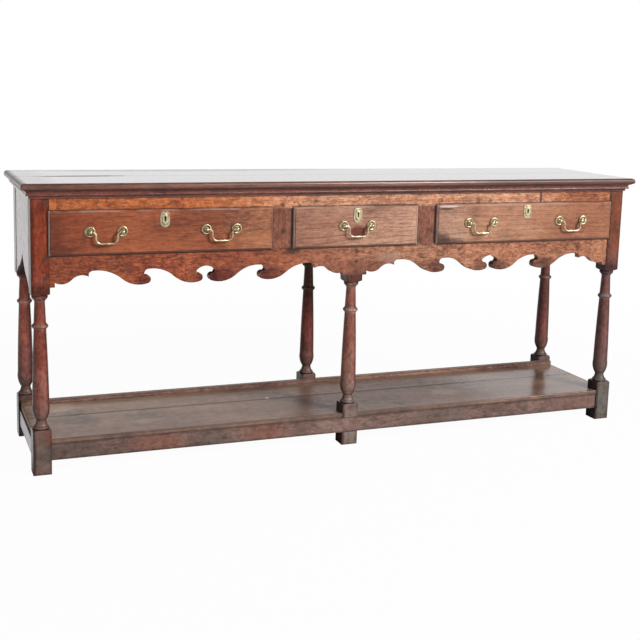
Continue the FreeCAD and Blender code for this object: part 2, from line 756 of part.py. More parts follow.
def cornice_profile():
    """Cornice section: stand-out from the frame and height, a hollow over a bead over a fillet."""
    top, low = float(carcass_top), float(carcass_top - d.cornice_height)
    reach, foot = float(d.cornice_reach), float(d.cornice_foot)
    hollow, bead = float(d.cornice_hollow), float(d.cornice_bead)
    edge = top - float(d.cornice_flat)
    inner = reach - hollow
    bead_top = edge - hollow - 1.0
    bead_low = bead_top - 2 * bead
    return (0.0, top), [
        ((reach, top),),
        ((reach, edge),),
        (on_circle((reach, edge - hollow), hollow, 135), (inner, edge - hollow)),
        ((inner, bead_top),),
        ((inner + bead, bead_top - bead), (inner, bead_low)),
        ((foot, bead_low),),
        ((foot, low),),
        ((0.0, low),),
    ]


def moulding(turn, length, mapping):
    start, steps = cornice_profile()
    points = [tuple(mapping(out, z) for out, z in step) for step in steps]
    sketch = drawn(outline(mapping(*start), points), turn)
    piece = doc.addObject("Part::Extrusion", "moulding")
    piece.Base = sketch
    piece.DirMode = "Normal"
    piece.Solid = True
    bind(piece, "LengthFwd", length)
    return piece


def mitre(side):
    """Upright block whose one face is the mitre plane at a front corner; it covers the end side."""
    size = d.post_size * 4
    block = doc.addObject("Part::Box", "mitre")
    for prop in ("Length", "Width", "Height"):
        bind(block, prop, size)
    block.Placement.Rotation = FreeCAD.Rotation(V(0, 0, 1), -45 if side > 0 else 135)
    shift = d.post_size * 2 * math.sqrt(0.5)
    return place(block, (end - shift) * side, front - shift * side if side < 0 else front + shift,
                 carcass_top - size / 2)


def build_cornice():
    reach = d.cornice_reach
    run = moulding(UPRIGHT_END, end * 2 + reach * 2, lambda out, z: (float(front) - out, z, 0.0))
    place(run, x=-(end + reach))
    returns = []
    tools = []
    for side in (-1, 1):
        piece = moulding(UPRIGHT_FRONT, d.frame_depth + reach,
                         lambda out, z, side=side: ((float(end) + out) * side, z, 0.0))
        place(piece, y=back)
        tool = mitre(side)
        tools.append(tool)
        shared = doc.addObject("Part::Common", "return")
        shared.Base = piece
        shared.Tool = fuse(tool, board(mirrored(span(end - reach, reach * 3), side), (front, back),
                                       (carcass_top - d.cornice_height * 2, carcass_top)))
        returns.append(shared)
    node("cornice_front", cut(run, *tools))
    node("cornice_returns", group(*returns))


def build_top():
    edge = front - d.top_front_over
    joint = edge + d.top_joint_depth
    rear = back + d.top_back_over
    reach = end + d.top_end_over
    upper, lower = float(d.nose_upper_radius), float(d.nose_lower_radius)

    def nosing(point, direction):
        outer = near(abs(point.x), reach) or near(point.y, edge)
        if not outer or abs(direction.z) > 0.5:
            return 0
        return upper if near(point.z, d.top_height) else lower
    for word, limits in (("front", (edge, joint)), ("back", (joint + d.top_joint_gap, rear))):
        plank = board((-reach, reach), limits, (carcass_top, d.top_height))
        node(f"top_plank_{word}", rounded(plank, nosing))


def build_runners():
    ledge_z = (opening_low - d.runner_thick, opening_low)
    guide_z = span(opening_low, d.guide_height)
    ends, middles = [], []
    for side in (-1, 1):
        along = (post_back, rear_post_front)
        ends.append(fuse(board(mirrored((post_in - d.runner_ledge, panel_in), side), along, ledge_z),
                         board(mirrored((post_in, panel_in), side), along, guide_z)))
        along = (apron_back, back - d.back_thick)
        tread = (centre_half - d.runner_ledge, muntin_out + d.runner_ledge)
        middles.append(fuse(board(mirrored(tread, side), along, ledge_z),
                            board(mirrored((centre_half, muntin_out), side), along, guide_z)))
    node("end_runners", group(*ends))
    node("muntin_runners", group(*middles))
    node("back_board", back_board())


# Potboard


def build_potboard():
    """Rails under the low planks, the planks notched round the posts, and a lath along their back."""
    rail_z = (d.potrail_low, potrail_top)
    for word, rail_y in (("front", front_rail_y()), ("back", back_rail_y())):
        rail = board((-post_in, post_in), rail_y, rail_z)
        node(f"potboard_rail_{word}", fuse(rail, potrail_tenon(-1, rail_y), potrail_tenon(1, rail_y)))
    rails = []
    for side in (-1, 1):
        outer = end - d.potrail_set_back
        rail = board(mirrored((outer - d.potrail_thick, outer), side), (post_back, rear_post_front), rail_z)
        rails.append(fuse(rail, *[end_rail_tongue(side, y) for y in (front_tongue_y(), rear_tongue_y())]))
    node("potboard_end_rails", group(*rails))
    bearer = board(about(Size.of(0), d.bearer_width), (post_back, rear_post_front),
                   (potrail_top - d.bearer_height, potrail_top))
    node("potboard_bearer", fuse(bearer, bearer_tongue(front_tongue_y()), bearer_tongue(rear_tongue_y())))
    reach = end - d.board_end_inset
    plank_z = (potrail_top, board_top)
    edge = front + d.potrail_set_back - d.board_proud
    joint = front + d.board_joint
    room = d.post_size + d.board_clear * 2
    post_middles = [(end - d.post_size / 2) * side for side in (-1, 0, 1)]

    def front_arris(point, direction):
        return d.board_round if near(point.y, edge) and abs(direction.x) > 0.5 else 0

    def lath_arris(point, direction):
        on_front = near(point.y, lath_front) and near(point.z, board_top + d.lath_rise)
        return d.lath_round if on_front and abs(direction.x) > 0.5 else 0
    notches = [board(about(x, room), (front - d.post_size, post_back + d.board_clear), plank_z)
               for x in post_middles]
    plank = rounded(board((-reach, reach), (edge, joint), plank_z), front_arris)
    node("potboard_plank_front", cut(plank, *notches))
    notches = [board(about(x, room), (rear_post_front - d.board_clear, back + d.post_size), plank_z)
               for x in post_middles]
    back_plank = board((-reach, reach), (joint + d.board_joint_gap, back - d.board_back_inset), plank_z)
    node("potboard_plank_back", cut(back_plank, *notches))
    lath = board((-reach, reach), (lath_front, rear_post_front), span(board_top, d.lath_rise))
    node("potboard_lath", rounded(lath, lath_arris))


def build_pegs():
    node("pegs", group(*[peg(x, z) for x, z in corner_peg_places() + centre_peg_places()]))


# Drawers


def keyhole(middle, near_y, far_y):
    """Eye and slot of a keyhole, from a near to a far plane."""
    eye = rod(d.keyhole_eye, far_y - near_y, middle, near_y, keyhole_z, V(0, 1, 0))
    slot = board(about(middle, d.keyhole_slot), (near_y, far_y), (keyhole_z - d.keyhole_length, keyhole_z))
    return fuse(eye, slot)


def handle_places(name, middle):
    if name == "centre":
        return [("bail_centre", middle)]
    return [(f"bail_{name}_{word}", middle + d.handle_spread * side) for word, side in
            (("first", -1), ("second", 1))]


def post_places(handles):
    return [middle + d.handle_centres / 2 * side for _, middle in handles for side in (-1, 1)]


def tails(middle, width, side):
    """Dovetails at the front end of a drawer side."""
    root, flare = d.tail_root / 2, d.tail_flare
    face = width / 2 - d.drawer_side_clear
    low, high = float(core_back) - float(d.tail_length), float(core_back)
    solids = []
    for step in (-1, 0, 1):
        z = float((opening_low + opening_top) / 2 + d.tail_pitch * step)
        wide, slim = float(root + flare), float(root)
        corners = [(low, z - wide), (high, z - slim), (high, z + slim), (low, z + wide)]
        curves = outline((*corners[0], 0.0), [((*corner, 0.0),) for corner in corners[1:]])
        tail = doc.addObject("Part::Extrusion", "tail")
        tail.Base = drawn(curves, UPRIGHT_END)
        tail.DirMode = "Normal"
        tail.Solid = True
        bind(tail, "LengthFwd", d.side_thick)
        solids.append(place(tail, x=middle + face - d.side_thick if side > 0 else middle - face))
    return solids


def drawer_bottom(middle, width):
    inner = width / 2 - d.drawer_side_clear - d.side_thick + d.bottom_groove
    low = opening_low + d.drawer_slide_gap + d.bottom_rise
    return board((middle - inner, middle + inner),
                 (core_back - d.bottom_groove, drawer_rear), span(low, d.bottom_thick))


def lock_box(middle):
    return board(about(middle, d.lock_width), span(core_back - d.lock_recess, d.lock_thick),
                 (lock_top - d.lock_height, lock_top))


def build_drawer_front(name, middle, width, handles):
    half = width / 2
    lip_x = (middle - half - d.lip_overlap, middle + half + d.lip_overlap)
    lip_z = (opening_low - d.lip_overlap, opening_top + d.lip_overlap)
    lip_back = front - d.lip_gap
    face = lip_back - d.lip_thick
    radius = float(d.lip_round)

    def lip_edge(point, direction):
        return radius if near(point.y, face) else 0
    lip = rounded(board(lip_x, (face, lip_back), lip_z), lip_edge)
    inset = d.field_inset
    field = board((lip_x[0] + inset, lip_x[1] - inset), (field_plane, lip_back),
                  (lip_z[0] + inset, lip_z[1] - inset))
    side = half - d.drawer_side_clear
    core = board((middle - side, middle + side), (lip_back, core_back),
                 (opening_low + d.drawer_slide_gap, lock_top))
    holes = [rod(d.stem_radius + d.stem_clear, core_back - field_plane, x, field_plane, handle_z, V(0, 1, 0))
             for x in post_places(handles)]
    node(f"drawer_{name}_front",
         cut(fuse(lip, field, core), keyhole(middle, field_plane, core_back), lock_box(middle),
             drawer_bottom(middle, width), *tails(middle, width, -1), *tails(middle, width, 1), *holes))


def build_drawer_box(name, middle, width):
    low = opening_low + d.drawer_slide_gap
    high = opening_top - d.side_top_drop
    face = width / 2 - d.drawer_side_clear
    for side, word in ((-1, "left"), (1, "right")):
        outer, inner = middle + face * side, middle + (face - d.side_thick) * side
        limits = (inner, outer) if side > 0 else (outer, inner)
        panel = fuse(board(limits, (core_back, drawer_rear), (low, high)), *tails(middle, width, side))
        node(f"drawer_{name}_side_{word}", cut(panel, drawer_bottom(middle, width)))
    inner = face - d.side_thick
    node(f"drawer_{name}_back",
         board((middle - inner, middle + inner), (drawer_rear - d.drawer_back_thick, drawer_rear),
               (low + d.bottom_rise + d.bottom_thick, high - d.drawer_back_drop)))
    node(f"drawer_{name}_bottom", drawer_bottom(middle, width))


def oval(width, height, z):
    """Upright oval of two straight sides and two half circles about a height."""
    half, straight = float(width) / 2, (float(height) - float(width)) / 2
    return outline((-half, z - straight, 0.0), [
        ((0.0, z - straight - half, 0.0), (half, z - straight, 0.0)),
        ((half, z + straight, 0.0),),
        ((0.0, z + straight + half, 0.0), (-half, z + straight, 0.0)),
    ])


def soften(body, padded, label, reach, radius):
    """Round the edges of a padded plate that lie a reach in front of its sketch."""
    doc.recompute()
    rim = [f"Edge{number}" for number, edge in enumerate(padded.Shape.Edges, start=1)
           if all(near(vertex.Y, -reach) for vertex in edge.Vertexes)]
    fillet = body.newObject("PartDesign::Fillet", label)
    fillet.Base = (padded, rim)
    bind(fillet, "Radius", radius)


def build_escutcheon(name, middle):
    """Shield plate with a flat top and round foot, and a raised oval round the keyhole."""
    half, height, corner = float(d.plate_width) / 2, float(d.plate_height), float(d.plate_corner)
    slant = corner * (1 - math.sqrt(0.5))
    foot = -height + half
    plate = outline((-half, -corner, 0.0), [
        ((-half, foot, 0.0),),
        ((0.0, -height, 0.0), (half, foot, 0.0)),
        ((half, -corner, 0.0),),
        ((half - slant, -slant, 0.0), (half - corner, 0.0, 0.0)),
        ((-half + corner, 0.0, 0.0),),
        ((-half + slant, -slant, 0.0), (-half, -corner, 0.0)),
    ])
    body = doc.addObject("PartDesign::Body", "plate")
    base = pad(body, body_sketch(body, "XZ_Plane", plate), d.plate_thick)
    soften(body, base, "soft_edge", d.plate_thick, d.plate_round)
    eye = float(keyhole_z - plate_top) - float(d.keyhole_length) / 2
    boss = pad(body, body_sketch(body, "XZ_Plane", oval(d.boss_width, d.boss_height, eye), d.plate_thick),
               d.boss_raise)
    soften(body, boss, "soft_rim", d.plate_thick + d.boss_raise, d.boss_raise * 0.8)
    place(body, middle, field_plane, plate_top)
    near_y = field_plane - d.plate_thick - d.boss_raise
    node(f"escutcheon_{name}", cut(body, keyhole(middle, near_y, field_plane)))


def build_lock(name, middle):
    low, high = bolt_plane()
    clear = d.bolt_clear
    bolt_z = (lock_top - d.bolt_height, lock_top)
    room = board(about(middle, d.bolt_width + clear * 2), (low - clear, high + clear),
                 (bolt_z[0] - clear, bolt_z[1]))
    near_y = core_back - d.lock_recess
    node(f"lock_case_{name}", cut(lock_box(middle), room, keyhole(middle, near_y, low)))
    node(f"lock_bolt_{name}", board(about(middle, d.bolt_width), (low, high), bolt_z))


def lathe_y(points, x, y, z):
    """Round piece about an axis along the drawer's depth; points are radius and reach forward."""
    curves = outline((*points[0][-1], 0.0), [tuple((*p, 0.0) for p in step) for step in points[1:]])
    sketch = drawn(curves)
    piece = doc.addObject("Part::Revolution", "round")
    piece.Source = sketch
    piece.Axis = V(0, 1, 0)
    piece.Angle = 360
    piece.Solid = True
    return place(piece, x, y, z)


def build_handle_fittings(name, handles):
    """Rose, ball-headed post and square nut at every post of the drawer's handles."""
    bore = float(d.stem_radius)
    rose, rim, dish = float(d.rose_radius), float(d.rose_rim), float(d.rose_dish)
    boss, boss_r = float(d.rose_boss), float(d.rose_boss_radius)
    head, reach = float(d.head_radius), float(d.head_reach)
    through = float(core_back - field_plane) + float(d.nut_thick)
    rose_section = [
        ((bore, 0.0),), ((rose, 0.0),), ((rose, -rim * 0.3),),
        ((rose - rim * 0.25, -rim * 0.82), (rose - rim * 0.75, -rim),),
        ((rose - rim * 1.25, -rim * 0.8), (rose - rim * 1.5, -dish),),
        ((boss_r, -dish),),
        ((boss_r - 0.4, -boss * 0.8), (boss_r - 1.8, -boss),), ((bore, -boss),)]
    neck = bore + 0.8
    ball_low = reach - math.sqrt(head ** 2 - neck ** 2)
    post_section = [
        ((0.0, through),), ((bore, through),), ((bore, -boss),), ((neck, -boss),), ((neck, -ball_low),),
        ((head, -reach), (0.0, -reach - head))]
    pieces = []
    half = d.nut_size / 2
    for index, x in enumerate(post_places(handles)):
        inward = 1 if index % 2 == 0 else -1
        pieces.append(lathe_y(rose_section, x, field_plane, handle_z))
        post = lathe_y(post_section, x, field_plane, handle_z)
        hole = rod(d.pin_radius + d.pin_clear, d.head_radius * 2, x - (d.pin_depth + d.bail_clear) * inward,
                   pin_plane, handle_z, V(inward, 0, 0))
        pieces.append(cut(post, hole))
        nut = board((x - half, x + half), span(core_back, d.nut_thick), (handle_z - half, handle_z + half))
        pieces.append(cut(nut, rod(d.stem_radius, d.nut_thick, x, core_back, handle_z, V(0, 1, 0))))
    node(f"handle_fittings_{name}", group(*pieces))


def build_bail(label, middle):
    """Swan-neck bail: round wire along straight runs and arcs, a swelled grip and a pin at each end."""
    inner = d.handle_centres / 2 - d.head_radius - d.bail_clear
    start, turn, corner = float(inner), float(d.bail_turn), float(d.bail_corner)
    drop = float(d.bail_drop)
    leg = start - turn
    slant = math.sqrt(0.5)
    points = [
        ((leg + turn * (1 - slant), -turn * (1 - slant)), (leg, -turn)),
        ((leg, -drop + corner),),
        ((leg - corner * (1 - slant), -drop + corner * (1 - slant)), (leg - corner, -drop)),
        ((corner - leg, -drop),),
        ((corner * (1 - slant) - leg, -drop + corner * (1 - slant)), (-leg, -drop + corner)),
        ((-leg, -turn),),
        ((-leg - turn * (1 - slant), -turn * (1 - slant)), (-start, 0.0)),
    ]
    path = [curve for curve in outline((start, 0.0, 0.0), [tuple((*p, 0.0) for p in s) for s in points])][:-1]
    body = doc.addObject("PartDesign::Body", "wire")
    spine = body_sketch(body, "XZ_Plane", path)
    ring = [Part.Circle(V(0, 0, 0), V(0, 0, 1), float(d.bail_radius))]
    section = body_sketch(body, "YZ_Plane", ring, inner)
    pipe = body.newObject("PartDesign::AdditivePipe", "wire_run")
    pipe.Profile = section
    pipe.Spine = spine
    place(body, middle, pin_plane, handle_z)
    run, grip = leg - corner, float(d.bail_radius + d.bail_swell)
    wire = float(d.bail_radius)
    barrel = doc.addObject("Part::Revolution", "grip")
    barrel.Source = drawn(outline((-run, 0.0, 0.0), [((-run, wire, 0.0),), ((0.0, grip, 0.0), (run, wire, 0.0)),
                                                     ((run, 0.0, 0.0),)]), UPRIGHT_FRONT)
    barrel.Axis = V(1, 0, 0)
    barrel.Angle = 360
    barrel.Solid = True
    place(barrel, middle, pin_plane, handle_z - d.bail_drop)
    length = d.head_radius + d.bail_clear + d.pin_depth
    pins = [rod(d.pin_radius, length, middle + inner * side, pin_plane, handle_z, V(side, 0, 0))
            for side in (-1, 1)]
    node(label, fuse(body, barrel, *pins))


def build_drawers():
    for name, middle, width in drawers():
        handles = handle_places(name, middle)
        build_drawer_front(name, middle, width, handles)
        build_drawer_box(name, middle, width)
        build_escutcheon(name, middle)
        build_lock(name, middle)
        build_handle_fittings(name, handles)
        for label, place_x in handles:
            build_bail(label, place_x)


def check_and_export():
    """Stop on any failed object or bad shape, then write one file for each node."""
    doc.recompute()
    failed = [item.Name for item in doc.Objects if {"Invalid", "Error"} & set(item.State)]
    bad = [item.Label for item in nodes if item.Shape.isNull() or not item.Shape.isValid()]
    empty = [item.Label for item in nodes if not item.Shape.Solids or item.Shape.Volume <= 0]
    if failed or bad or empty:
        raise RuntimeError(f"failed objects {failed}, bad shapes {bad}, empty shapes {empty}")
    os.makedirs("parts", exist_ok=True)
    for item in nodes:
        item.Shape.exportStep(f"parts/{item.Label}.step")


build_posts()
build_frieze_and_muntins()
build_apron()
build_end_panels()
build_cornice()
build_top()
build_runners()
build_potboard()
build_pegs()
build_drawers()
check_and_export()
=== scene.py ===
import math
from typing import NamedTuple

import bpy
import numpy as np
from bpy.props import FloatProperty, FloatVectorProperty, PointerProperty
from mathutils import Euler, Matrix, Vector


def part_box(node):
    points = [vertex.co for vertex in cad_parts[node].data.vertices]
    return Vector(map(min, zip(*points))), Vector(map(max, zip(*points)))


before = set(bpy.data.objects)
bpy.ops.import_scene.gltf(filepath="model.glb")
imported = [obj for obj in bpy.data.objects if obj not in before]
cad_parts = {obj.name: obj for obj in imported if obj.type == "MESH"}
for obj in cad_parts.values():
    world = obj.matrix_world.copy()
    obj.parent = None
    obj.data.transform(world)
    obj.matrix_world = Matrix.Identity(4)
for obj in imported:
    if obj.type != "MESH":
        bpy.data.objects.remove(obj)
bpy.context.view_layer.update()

bl_info = {
    "name": "Potboard dresser",
    "version": (1, 0, 0),
    "blender": (4, 5, 0),
    "location": "3D View > Sidebar > Dresser",
    "description": "Gives an oak potboard dresser its waxed wood, brass, iron and a plain studio",
    "category": "Object",
}

PICTURE_SIDE = 640
SENSOR_WIDTH = 36.0
WHITE = (1.0, 1.0, 1.0, 1.0)


def card(red, green, blue):
    """Colour as it looks on a card, 0 to 255, turned into linear light."""
    shares = [value / 255 for value in (red, green, blue)]
    return tuple(s / 12.92 if s <= 0.04045 else ((s + 0.055) / 1.055) ** 2.4 for s in shares)


def opaque(colour):
    return (*colour[:3], 1.0)


# Settings that a user would change


def colour_setting(name, description, *rgb):
    return FloatVectorProperty(name=name, description=description, subtype="COLOR", size=3,
                               min=0.0, max=1.0, default=card(*rgb))


def light_grain(name, pieces, *rgb):
    return colour_setting(f"{name}, light", f"Light grain of {pieces}", *rgb)


def dark_grain(name, pieces, *rgb):
    return colour_setting(f"{name}, dark", f"Dark grain of {pieces}", *rgb)


def number_setting(**kind):
    """Maker of settings of one kind, each from its name, description and default."""
    def setting(name, description, default):
        return FloatProperty(name=name, description=description, default=default, **kind)
    return setting


length_setting = number_setting(unit="LENGTH", min=0.0)
share_setting = number_setting(subtype="FACTOR", min=0.0, max=1.0)
angle_setting = number_setting(subtype="ANGLE")
pixel_setting = number_setting(subtype="PIXEL")
power_setting = number_setting(subtype="POWER")


class OakSettings(bpy.types.PropertyGroup):
    """Colours of the oak, board by board, and how old its surface is."""

    post_light: light_grain("Posts", "the posts", 172, 86, 50)
    post_dark: dark_grain("Posts", "the posts", 96, 42, 28)
    frieze_light: light_grain("Frieze", "the rail over the drawers", 238, 183, 144)
    frieze_dark: dark_grain("Frieze", "the rail over the drawers", 165, 105, 78)
    apron_light: light_grain("Apron", "the scroll-cut apron", 195, 139, 107)
    apron_dark: dark_grain("Apron", "the scroll-cut apron", 122, 76, 58)
    muntin_light: light_grain("Muntins", "the uprights between drawers", 164, 104, 78)
    muntin_dark: dark_grain("Muntins", "the uprights between drawers", 100, 57, 45)
    left_light: light_grain("Left drawer", "the left drawer front", 186, 104, 64)
    left_dark: dark_grain("Left drawer", "the left drawer front", 111, 55, 35)
    centre_light: light_grain("Centre drawer", "the centre drawer front", 219, 173, 145)
    centre_dark: dark_grain("Centre drawer", "the centre drawer front", 150, 102, 81)
    right_light: light_grain("Right drawer", "the right drawer front", 199, 146, 114)
    right_dark: dark_grain("Right drawer", "the right drawer front", 139, 88, 66)
    top_light: light_grain("Top", "the top and cornice", 128, 88, 74)
    top_dark: dark_grain("Top", "the top and cornice", 68, 44, 38)
    end_light: light_grain("Ends", "the end panels", 128, 78, 56)
    end_dark: dark_grain("Ends", "the end panels", 72, 42, 32)
    potboard_light: light_grain("Potboard", "the scrubbed potboard", 166, 129, 109)
    potboard_dark: dark_grain("Potboard", "the scrubbed potboard", 101, 77, 65)
    rail_light: light_grain("Potboard rails", "the rails under the potboard", 150, 121, 111)
    rail_dark: dark_grain("Potboard rails", "the rails under the potboard", 101, 79, 72)
    lath_light: light_grain("Lath", "the lath behind the potboard", 188, 146, 126)
    lath_dark: dark_grain("Lath", "the lath behind the potboard", 114, 86, 76)
    lining_light: light_grain("Linings", "the bare wood inside", 176, 140, 100)
    lining_dark: dark_grain("Linings", "the bare wood inside", 120, 90, 62)
    vein: colour_setting("Veins", "Dirt in the open pores of each ring", 62, 38, 30)
    dirt: colour_setting("Dirt", "Old dirt along edges and in corners", 44, 32, 28)
    dirt_width: length_setting("Dirt width", "How far dirt reaches from an edge", 0.01)
    wear_width: length_setting("Wear width", "How far an edge is rubbed", 0.0025)
    # Width of the dark band round the drawer lips, partly dirt and partly the lips' painted shadow
    gap_dirt_and_shade_width: length_setting("Gap dirt width", "Dark border round the drawer lips", 0.005)
    # The pale lip sides are partly rubbed and partly painted highlight; the lip feet are painted shade
    lip: colour_setting("Lip sides", "Rubbed sides of the drawers' lips", 206, 178, 164)
    lip_foot_shade: colour_setting("Lip feet", "Dull lower edges of the drawers' lips", 112, 82, 74)
    lip_width: length_setting("Lip width", "Edge of a drawer's lip to its flat", 0.0055)


class MetalSettings(bpy.types.PropertyGroup):
    """Colours of the brass fittings and the iron locks."""

    brass: colour_setting("Brass", "Rubbed brass", 238, 222, 186)
    tarnish: colour_setting("Tarnish", "Tarnished brass in the hollows", 134, 117, 80)
    iron: colour_setting("Iron", "Blackened iron of the locks", 62, 56, 52)
    rust: colour_setting("Rust", "Rust on the locks", 104, 62, 40)
    brass_roughness: share_setting("Brass roughness", "Roughness of the rubbed brass", 0.34)


class StudioSettings(bpy.types.PropertyGroup):
    """Camera, lamps and floor."""

    camera_place: FloatVectorProperty(name="Camera place", description="Where the camera stands",
                                      subtype="XYZ", unit="LENGTH", size=3,
                                      default=(-1.3387, -3.2432, 1.1307))
    pan: angle_setting("Pan", "Turn of the camera to the left", math.radians(-21.076))
    pitch: angle_setting("Pitch", "Tilt of the camera upwards", math.radians(-8.955))
    roll: angle_setting("Roll", "Roll of the camera", math.radians(-1.483))
    focal_pixels: pixel_setting("Focal length", "Focal length in pixels of the picture", 1088.0)
    middle_x: pixel_setting("Axis across", "Where the camera's axis meets the picture, from its left", 305.4)
    middle_y: pixel_setting("Axis down", "Where the camera's axis meets the picture, from its top", 254.2)
    key_power: power_setting("Key lamp", "Power of the large lamp at the front right", 770.0)
    fill_power: power_setting("Fill lamp", "Power of the weak lamp at the front left", 30.0)
    room: share_setting("Room light", "Light that comes from all round", 0.09)
    room_front: share_setting("Room behind the camera",
                              "How bright gloss shows the room beside and behind the camera", 0.12)
    floor: colour_setting("Floor", "Plain pale floor", 224, 224, 224)
    floor_white: share_setting("Floor white",
                               "How far the floor near the dresser is seen as plain white", 0.97)


# Node trees


class Tree:
    """Node tree in the making: a value that is a socket is linked, and any other is set."""

    def __init__(self, tree):
        self.tree = tree

    def feed(self, socket, value):
        if isinstance(value, bpy.types.NodeSocket):
            self.tree.links.new(value, socket)
        else:
            socket.default_value = value

    def add(self, kind, inputs=(), **options):
        node = self.tree.nodes.new(kind)
        for name, value in options.items():
            setattr(node, name, value)
        for key, value in dict(inputs).items():
            self.feed(node.inputs[key], value)
        return node

    def group(self, name, **inputs):
        """Outputs of a shared effect, fed by the names of its inputs."""
        named = {key.capitalize(): value for key, value in inputs.items()}
        return self.add("ShaderNodeGroup", named, node_tree=bpy.data.node_groups[name]).outputs

    def place(self):
        """Object coordinates, which go with a piece when it moves."""
        return self.add("ShaderNodeTexCoord").outputs["Object"]

    def math(self, operation, first, second=0.0, clamp=False):
        node = self.add("ShaderNodeMath", {0: first, 1: second}, operation=operation, use_clamp=clamp)
        return node.outputs[0]

    def times(self, first, second):
        return self.math("MULTIPLY", first, second)

    def plus(self, first, second, clamp=False):
        return self.math("ADD", first, second, clamp)

    def minus(self, first, second, clamp=False):
        return self.math("SUBTRACT", first, second, clamp)

    def larger(self, first, second):
        return self.math("MAXIMUM", first, second)

    def smaller(self, first, second):
        return self.math("MINIMUM", first, second)

    def distance(self, value, mark):
        """How far a value is from a mark, on either side."""
        return self.math("ABSOLUTE", self.minus(value, mark))

    def centred(self, value):
        """How far a value that runs from 0 to 1 is over one half."""
        return self.minus(value, 0.5)

    def vector(self, operation, first, second):
        return self.add("ShaderNodeVectorMath", {0: first, 1: second}, operation=operation).outputs[0]

    def length(self, vector):
        return self.add("ShaderNodeVectorMath", {0: vector}, operation="LENGTH").outputs["Value"]

    def parts(self, vector):
        """The X, Y and Z of a vector."""
        return self.add("ShaderNodeSeparateXYZ", {0: vector}).outputs

    def ramp(self, value, low, high, start=0.0, end=1.0):
        """Smooth step from start at low to end at high."""
        limits = {"Value": value, "From Min": low, "From Max": high, "To Min": start, "To Max": end}
        return self.add("ShaderNodeMapRange", limits, interpolation_type="SMOOTHSTEP").outputs[0]

    def mix(self, share, first, second, blend="MIX"):
        node = self.add("ShaderNodeMix", data_type="RGBA", blend_type=blend)
        for index, value in ((0, share), (6, first), (7, second)):
            self.feed(node.inputs[index], value)
        return node.outputs[2]

    def cover(self, colour, mask, strength, paint, blend="MIX"):
        """Colour with a paint over it where a mask is 1, as thick as its strength."""
        return self.mix(self.times(mask, strength), colour, opaque(paint), blend)

    def clouds(self, place, stretch, detail=2.0, roughness=0.5, distortion=0.0):
        """Noise, as a value and a colour; its features are 1 / stretch metres long on each axis."""
        per_axis = stretch if isinstance(stretch, tuple) else (stretch,) * 3
        stretched = self.vector("MULTIPLY", place, per_axis)
        return self.add("ShaderNodeTexNoise", {"Vector": stretched, "Scale": 1.0, "Detail": detail,
                                               "Roughness": roughness, "Distortion": distortion}).outputs

    def noise(self, place, stretch, **options):
        return self.clouds(place, stretch, **options)[0]

    def added(self, base, *terms):
        """Base plus each weight times how far its value is over one half."""
        total = base
        for weight, value in terms:
            total = self.plus(total, self.times(self.centred(value), weight))
        return total


# Kind of a group's socket by its name; every other socket is a value
SOCKET_KINDS = {"Color": "NodeSocketColor"}
SOCKET_KINDS |= dict.fromkeys(("Vector", "Low", "High", "Centre", "Size"), "NodeSocketVector")
# Length in metres of one wave of the wave texture at scale 1
WAVE_LENGTH = math.pi / 10


def new_group(name, inputs, outputs):
    """New shader group from its sockets' names; gives its tree, its inputs and its outputs."""
    tree = bpy.data.node_groups.new(name, "ShaderNodeTree")
    for way, sockets in (("INPUT", inputs), ("OUTPUT", outputs)):
        for socket in sockets.split():
            kind = SOCKET_KINDS.get(socket, "NodeSocketFloat")
            tree.interface.new_socket(socket, in_out=way, socket_type=kind)
    w = Tree(tree)
    return w, w.add("NodeGroupInput").outputs, w.add("NodeGroupOutput").inputs


def build_oak_grain():
    """Oak along X about its heart line: wandering rings, streaks, fibres, pores and ray flecks."""
    w, given, out = new_group("oak grain", "Vector Ring Wander Fleck Streak Mottle", "Tone Vein Height")
    place = given["Vector"]
    drift = w.vector("SUBTRACT", w.clouds(place, (1.4, 6.0, 6.0))[1], (0.5, 0.5, 0.5))
    drift = w.vector("MULTIPLY", drift, (0.0, 2.0, 2.0))
    drift = w.add("ShaderNodeVectorMath", {0: drift, "Scale": given["Wander"]}, operation="SCALE").outputs[0]
    grain = w.vector("ADD", place, drift)
    rings_scale = w.math("DIVIDE", WAVE_LENGTH, given["Ring"])
    rings = w.add("ShaderNodeTexWave", {"Vector": grain, "Scale": rings_scale, "Distortion": 0.0},
                  wave_type="RINGS", rings_direction="X", wave_profile="SAW").outputs[1]
    streaks = w.noise(grain, (1.8, 160.0, 160.0), detail=3.0, roughness=0.6)
    dashes = w.noise(grain, (9.0, 380.0, 380.0))
    fibres = w.noise(grain, (40.0, 1000.0, 1000.0), detail=1.0)
    broad = w.noise(place, (3.0, 11.0, 11.0), detail=3.0)
    flecks = w.noise(place, (170.0, 230.0, 230.0), detail=3.0, roughness=0.6, distortion=0.6)
    flecks = w.ramp(flecks, 0.4, 0.64)
    pores = w.ramp(w.noise(grain, (42.0, 1100.0, 1100.0), detail=0.0), 0.56, 0.68)
    late = w.ramp(rings, 0.62, 0.98)
    broken = w.ramp(w.noise(grain, (7.0, 90.0, 90.0), detail=1.0), 0.38, 0.6)
    mottle = w.noise(place, (50.0, 165.0, 165.0), detail=6.0, roughness=0.75)
    lines = w.times(w.added(0.0, (1.0, streaks), (1.6, dashes), (0.9, fibres)), given["Streak"])
    patches = w.times(w.centred(mottle), given["Mottle"])
    tone = w.plus(w.plus(lines, patches), w.added(0.5, (1.5, broad)))
    tone = w.plus(tone, w.times(w.times(flecks, given["Fleck"]), 0.6))
    w.feed(out["Tone"], w.minus(tone, w.times(given["Fleck"], 0.25), clamp=True))
    vein = w.times(late, w.plus(w.times(broken, 0.7), 0.3))
    w.feed(out["Vein"], w.plus(w.times(vein, 0.75), w.times(pores, 0.35), clamp=True))
    height = w.minus(w.times(fibres, 0.5), w.times(pores, 0.5))
    w.feed(out["Height"], w.minus(height, w.times(late, 0.2)))


